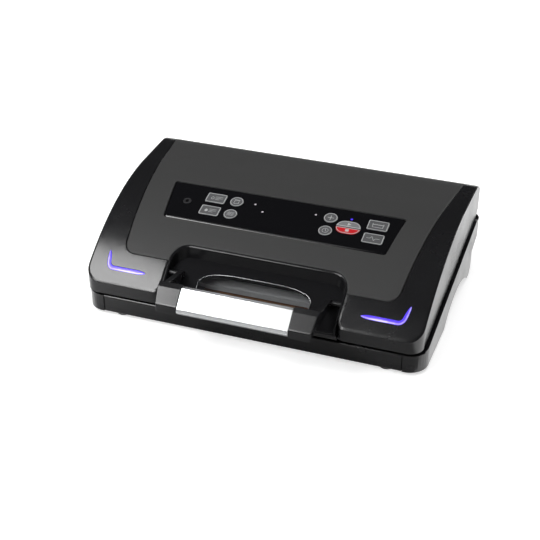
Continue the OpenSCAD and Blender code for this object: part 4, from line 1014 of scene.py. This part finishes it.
def rect_plan(x, v):
    return lambda g: rounded_box(KEY_W + 2 * g, KEY_H + 2 * g, max(KEY_R + g, 0.4), x,
                                 v + ROW_SHIFT)


def round_plan(x, v):
    return lambda g: circle(ROUND_R + g, x, v + ROW_SHIFT, 48)


def half_oval(half):
    """The upper or lower half of the oval pair."""
    def plan(g):
        r, low = OVAL_R + g, OVAL_SPLIT - g
        turn = math.degrees(math.asin(low / r))
        path = arc(4, 0, r, turn, 90, 14) + arc(-4, 0, r, 90, 180 - turn, 14)
        if half < 0:
            path = [(px, -py) for px, py in reversed(path)]
        return [(OVAL_X + px, ROW_SHIFT + py) for px, py in path]
    return plan


def key(plan, x, v):
    """A key's outline, and the middle that its mark is drawn round."""
    return plan(x, v), (x, v + ROW_SHIFT)


KEYS = {
    "mode_key_1": key(rect_plan, MODE_X, ROW_V), "mode_key_2": key(rect_plan, MODE_X, -ROW_V),
    "side_key_1": key(rect_plan, SIDE_X, ROW_V), "side_key_2": key(rect_plan, SIDE_X, -ROW_V),
    "round_key_1": key(round_plan, -ROUND_X, ROW_V),
    "round_key_2": key(round_plan, -ROUND_X, -ROW_V),
    "round_key_3": key(round_plan, ROUND_X, ROW_V),
    "round_key_4": key(round_plan, ROUND_X, -ROW_V),
    "start_key": (half_oval(1), (OVAL_X, ROW_SHIFT + 5.0)),
    "stop_key": (half_oval(-1), (OVAL_X, ROW_SHIFT - 5.0)),
}
LENSES, LENS_R = [(-34, 13.2), (38.4, 13.2), (-22, 3), (OVAL_X, 15.5)], 1.3
PORT_X, PORT_R = -113, 4.9
print("keys and lenses:", len(KEYS), len(LENSES))


# %% Build the panel
PANEL_T = 3.0
shell = Shell()
LIP = ((1.7, 0), (1.5, 0.03), (0.35, 0.99), (0.12, 1.2), (0, 1.5), (0, PANEL_T))
top, bottom = shell.stack([raised(panel_outline(-d), -drop) for d, drop in LIP])
holes = [lambda g, plan=plan: plan(KEY_GAP + g) for plan, _ in KEYS.values()]
holes += [lambda g: circle(PORT_R + g, PORT_X, 0, 40)]
holes += [lambda g, p=p: circle(LENS_R + g, p[0], p[1], 16) for p in LENSES]
ends = [shell.stack([raised(hole(0.15), 0.0), raised(hole(0.0), -0.15),
                     raised(hole(0.0), -PANEL_T)]) for hole in holes]
shell.fill([top] + [a for a, _ in ends], level(0.0), 40)
shell.fill([bottom] + [b for _, b in ends], level(-PANEL_T), 40)
panel = shell.make("key_panel_plate", PANEL, finish["gloss_black"])
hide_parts("control_panel")
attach(panel, "lid")
print("panel points:", len(panel.data.vertices))


# %% Pictograms
def ribbon(points, width=0.55):
    """A printed stroke along a line of points."""
    line = np.array(points, float)
    along = np.gradient(line, axis=0)
    along /= np.linalg.norm(along, axis=1)[:, None]
    side = np.stack([along[:, 1], -along[:, 0]], axis=1) * width / 2
    return [tuple(p) for p in line + side] + [tuple(p) for p in (line - side)[::-1]]


def polyline(points, width=0.55):
    """Straight strokes between corner points."""
    return [ribbon([a, b], width) for a, b in zip(points, points[1:])]


def drop_mark(x, y, size, solid):
    tip = [(x, y + 1.5 * size)]
    path = tip + arc(x, y, size, 30, -210, 14) + tip
    return path[:-1] if solid else ribbon(path)


def wave(y, span=4.0):
    return ribbon([(t, y + 0.6 * math.sin(t * 2.3)) for t in np.linspace(-span, span, 17)], 0.5)


BARS = [stroke for end_x, v in ((7.5, 2.2), (7.5, 0), (4, -2.2))
        for stroke in polyline([(-1, v), (end_x, v)])]
MARKS = {
    "mode_key_1": [drop_mark(-4.2, -0.6, 1.7, False)] + BARS,
    "mode_key_2": [drop_mark(-4.2, -0.6, 1.9, True)] + BARS,
    "side_key_1": polyline([(-6, 3), (-6, -3.2), (6, -3.2), (6, 3)])
    + polyline([(-7, 1.2), (7, 1.2)], 0.9),
    "side_key_2": polyline([(-7.5, 0), (-3.5, 0), (-1.8, 3), (1.2, -3), (3, 0), (7.5, 0)]),
    "round_key_1": polyline([(-2.6, 1.6), (-2.6, -3.4), (2.6, -3.4), (2.6, 1.6)])
    + polyline([(-3.2, 2.6), (3.2, 2.6)], 1.0),
    "round_key_2": [wave(2.2), wave(0), wave(-2.2)],
    "round_key_3": polyline([(-3.6, 0), (3.6, 0)], 0.8) + polyline([(0, -3.6), (0, 3.6)], 0.8),
    "round_key_4": [ribbon(arc(0, 0, 3.4, 0, 345, 20))] + polyline([(0, 2.4), (0, 0), (1.7, -1.2)]),
    "start_key": [[(-1.8, -2.4), (2.4, 0), (-1.8, 2.4)]],
    "stop_key": [[(-2, -2), (2, -2), (2, 2), (-2, 2)]],
}

# %% Build the keys
PRINT_T, BORDER, KEY_FOOT = 0.03, (0.35, 1.15), -4.2
for name, (plan, middle) in KEYS.items():
    shell = Shell()
    shell.slab([raised(plan(-d), KEY_PROUD - drop) for d, drop in fillet(0.35, 3)]
               + [raised(plan(0), KEY_FOOT)], level(KEY_PROUD), level(KEY_FOOT))
    slot_name = slots[name]
    cap = shell.make(name + "_cap", PANEL, finish[slot_name])
    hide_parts(name)
    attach(cap, name)
    print_shell = Shell()
    out, in_ = BORDER
    low, high = KEY_PROUD - 0.01, KEY_PROUD + PRINT_T
    print_shell.closed([raised(plan(-out), low), raised(plan(-out), high),
                        raised(plan(-in_), high), raised(plan(-in_), low)])
    for mark in MARKS[name]:
        path = [(middle[0] + x, middle[1] + v) for x, v in mark]
        print_shell.slab([raised(path, high), raised(path, low)], level(high), level(low))
    printed = print_shell.make(name + "_print", PANEL, finish["key_line"])
    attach(printed, name)
print("keys:", len(KEYS))

# %% [markdown]
# ## Light strips
# Each strip is a lens in its slot, level with the frame. The value named core, written
# into the mesh, is high along the front edge and low along the rear one, and the finish
# turns it into the change from near white to deep violet.

# %% Build the light strips
def turn_values(values, side):
    """Values in the order of a strip's points, which runs backward on the left."""
    return values if side == "right" else values[::-1]


for side, turn in (("right", lambda p: p), ("left", mirrored)):
    shell = Shell()
    steps = ((-1.5, 0.04, 0.5, 0.25), (-0.95, 0.03, 0.95, 0.15), (-0.4, -0.02, 0.85, 0.1),
             (0.0, -0.3, 0.4, 0.3), (0.0, -2.2, 0.0, 0.0))
    half = len(light_outline()) // 2
    top, bottom = shell.stack(
        [raised(turn(light_outline(g)), under(-z)) for g, z, _, _ in steps],
        [turn_values([front] * half + [rear] * half, side) for _, _, front, rear in steps])
    shell.fill([top], under(-0.04), 5, 0.35)
    shell.fill([bottom], under(2.2), 20)
    strip = shell.make("light_strip_lens_" + side, material=finish["light_violet"])
    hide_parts("light_strip_" + side)
    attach(strip, "lid")
print("strips placed")

# %% [markdown]
# ## Silver bar
# An aluminium extrusion with a broad flat face and chamfers along it. Its corners are
# rounded a little, as a die leaves them.


# %% Round corners of a profile
def soft_profile(corners, r, count=4):
    """A closed profile with each corner replaced by a short arc."""
    made, n = [], len(corners)
    for i, here in enumerate(corners):
        p = np.array(here, float)
        a = np.array(corners[i - 1], float) - p
        b = np.array(corners[(i + 1) % n], float) - p
        a /= np.linalg.norm(a)
        b /= np.linalg.norm(b)
        half = math.acos(max(-1, min(1, float(a @ b)))) / 2
        reach = r / math.tan(half)
        for t in np.linspace(0, 1, count + 1):
            q = (1 - t) ** 2 * (p + a * reach) + 2 * t * (1 - t) * p + t**2 * (p + b * reach)
            made.append(tuple(q))
    return made


# %% Build the bar
BAR_HALF_L, FACE_HALF, BAR_T = 62.0, 15.25, 8.0
LOW_BEVEL, HIGH_BEVEL, BACK_BEVEL = (4.4, 2.0), (3.4, 1.7), (2.6, 1.3)
profile = [(-FACE_HALF, -LOW_BEVEL[1]), (LOW_BEVEL[0] - FACE_HALF, 0),
           (FACE_HALF - HIGH_BEVEL[0], 0), (FACE_HALF, -HIGH_BEVEL[1]),
           (FACE_HALF, BACK_BEVEL[1] - BAR_T),
           (FACE_HALF - BACK_BEVEL[0], -BAR_T), (BACK_BEVEL[0] - FACE_HALF, -BAR_T),
           (-FACE_HALF, BACK_BEVEL[1] - BAR_T)]
soft = soft_profile(profile, 1.3)
shell = Shell()
shell.rod([[(x, v * k, z * k - (1 - k) * BAR_T / 2) for v, z in soft]
           for x, k in ((-BAR_HALF_L, 0.985), (-BAR_HALF_L + 0.3, 1),
                        (BAR_HALF_L - 0.3, 1), (BAR_HALF_L, 0.985))])
silver = shell.make("handle_bar_extrusion", BAR, finish["aluminium"], sharp=25)
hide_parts("handle_bar")
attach(silver, "handle")
print("bar points:", len(silver.data.vertices))

# %% [markdown]
# ## End caps and arms
# Each end of the bar is held in a black moulded cap, cut at a slant on its outer end, and
# an arm runs from the cap to the latch shaft. Both are rings of points along the width:
# the rings shrink a little at the ends, so every edge is soft.


# %% Rings along the width
def shrunk(profile, by):
    """A closed profile moved in by a distance, square to its own line."""
    line = np.array(profile, float)
    along = np.roll(line, -1, axis=0) - np.roll(line, 1, axis=0)
    along /= np.linalg.norm(along, axis=1)[:, None]
    return line + np.stack([-along[:, 1], along[:, 0]], axis=1) * by


def soft_ends(profile, x0, x1, r, slant=lambda v: 0.0):
    """Rings from one end to the other, with rounded ends; the far end may be slanted."""
    ends = fillet(r, 3)
    rings = [[(x0 + drop, v, z) for v, z in shrunk(profile, d)] for d, drop in ends]
    return rings + [[(x1 - drop + slant(v), v, z) for v, z in shrunk(profile, d)]
                    for d, drop in ends[::-1]]


def bar_point(along, out):
    """A place on the bar, along its face and out from it, as depth and height."""
    turn = math.radians(BAR_TILT)
    return (BAR_Y + along * math.cos(turn) - out * math.sin(turn),
            BAR_Z + along * math.sin(turn) + out * math.cos(turn))


# %% Build the caps and arms
CAP_HALF, CAP_END, CAP_SLANT, CAP_BACK, BOSS_R = FACE_HALF + 1.5, 90.0, 4.0, 9.0, 4.0
ARM_IN, ARM_OUT = 82.3, 88.7
cap_profile = soft_profile([(1.4 - CAP_HALF, -CAP_BACK), (CAP_HALF - 1.5, -CAP_BACK),
                            (CAP_HALF, -2.9), (9.8, 0.8), (-8.3, 0.8), (-9.9, 0.62),
                            (-CAP_HALF, -6.4)], 0.9, 5)
arm_profile = (arc(PIVOT_Y, PIVOT_Z, BOSS_R, -90, 90, 12)
               + [bar_point(CAP_HALF - 2, 2 - CAP_BACK), bar_point(0, 3 - CAP_BACK),
                  bar_point(-3, 1 - CAP_BACK)])
for side, name in ((1, "right"), (-1, "left")):
    shell = Shell()
    rings = soft_ends(cap_profile, BAR_HALF_L + 0.1, CAP_END, 0.9,
                      lambda v: CAP_SLANT * (v - CAP_HALF) / (2 * CAP_HALF))
    shell.rod([[(side * x, v, z) for x, v, z in ring] for ring in rings])
    cap = shell.make("handle_cap_" + name, BAR, finish["black_frame"], 50)
    shell = Shell()
    shell.rod([[(side * x, y, z) for x, y, z in ring]
               for ring in soft_ends(arm_profile, ARM_IN, ARM_OUT, 0.6)])
    arm = shell.make("handle_arm_form_" + name, material=finish["black_frame"], sharp=50)
    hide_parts("handle_arm_" + name)
    for piece in (cap, arm):
        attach(piece, "handle")
print("caps and arms made")

# %% [markdown]
# ## Front panel of the base
# A separate plate closes the base between its two corners. Its edges are rounded, which
# leaves a fine dark seam at each end, as on the real moulding.

# %% Build the front panel
UPRIGHT = MM @ Matrix.Rotation(math.radians(90), 4, "X")
SEAM_X, PLATE_LOW, PLATE_HIGH, PLATE_T = 173.0, 4.05, 24.95, 2.5


def plate_outline(inset):
    wide, high = 2 * (SEAM_X - inset), PLATE_HIGH - PLATE_LOW - 2 * inset
    return [(x, z + (PLATE_LOW + PLATE_HIGH) / 2)
            for x, z in rounded_box(wide, high, 0.3, count=2)]


shell = Shell()
PLATE_EDGE = ((1.15, 0), (0.95, 0.03), (0.15, 0.72), (0, 0.95))
shell.rod([[(x, z, -drop) for x, z in plate_outline(d)] for d, drop in PLATE_EDGE]
          + [[(x, z, -PLATE_T) for x, z in plate_outline(0)]])
plate = shell.make("base_front_plate", UPRIGHT, finish["black_frame"])
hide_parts("base_front_panel")
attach(plate, "base")
print("front plate points:", len(plate.data.vertices))
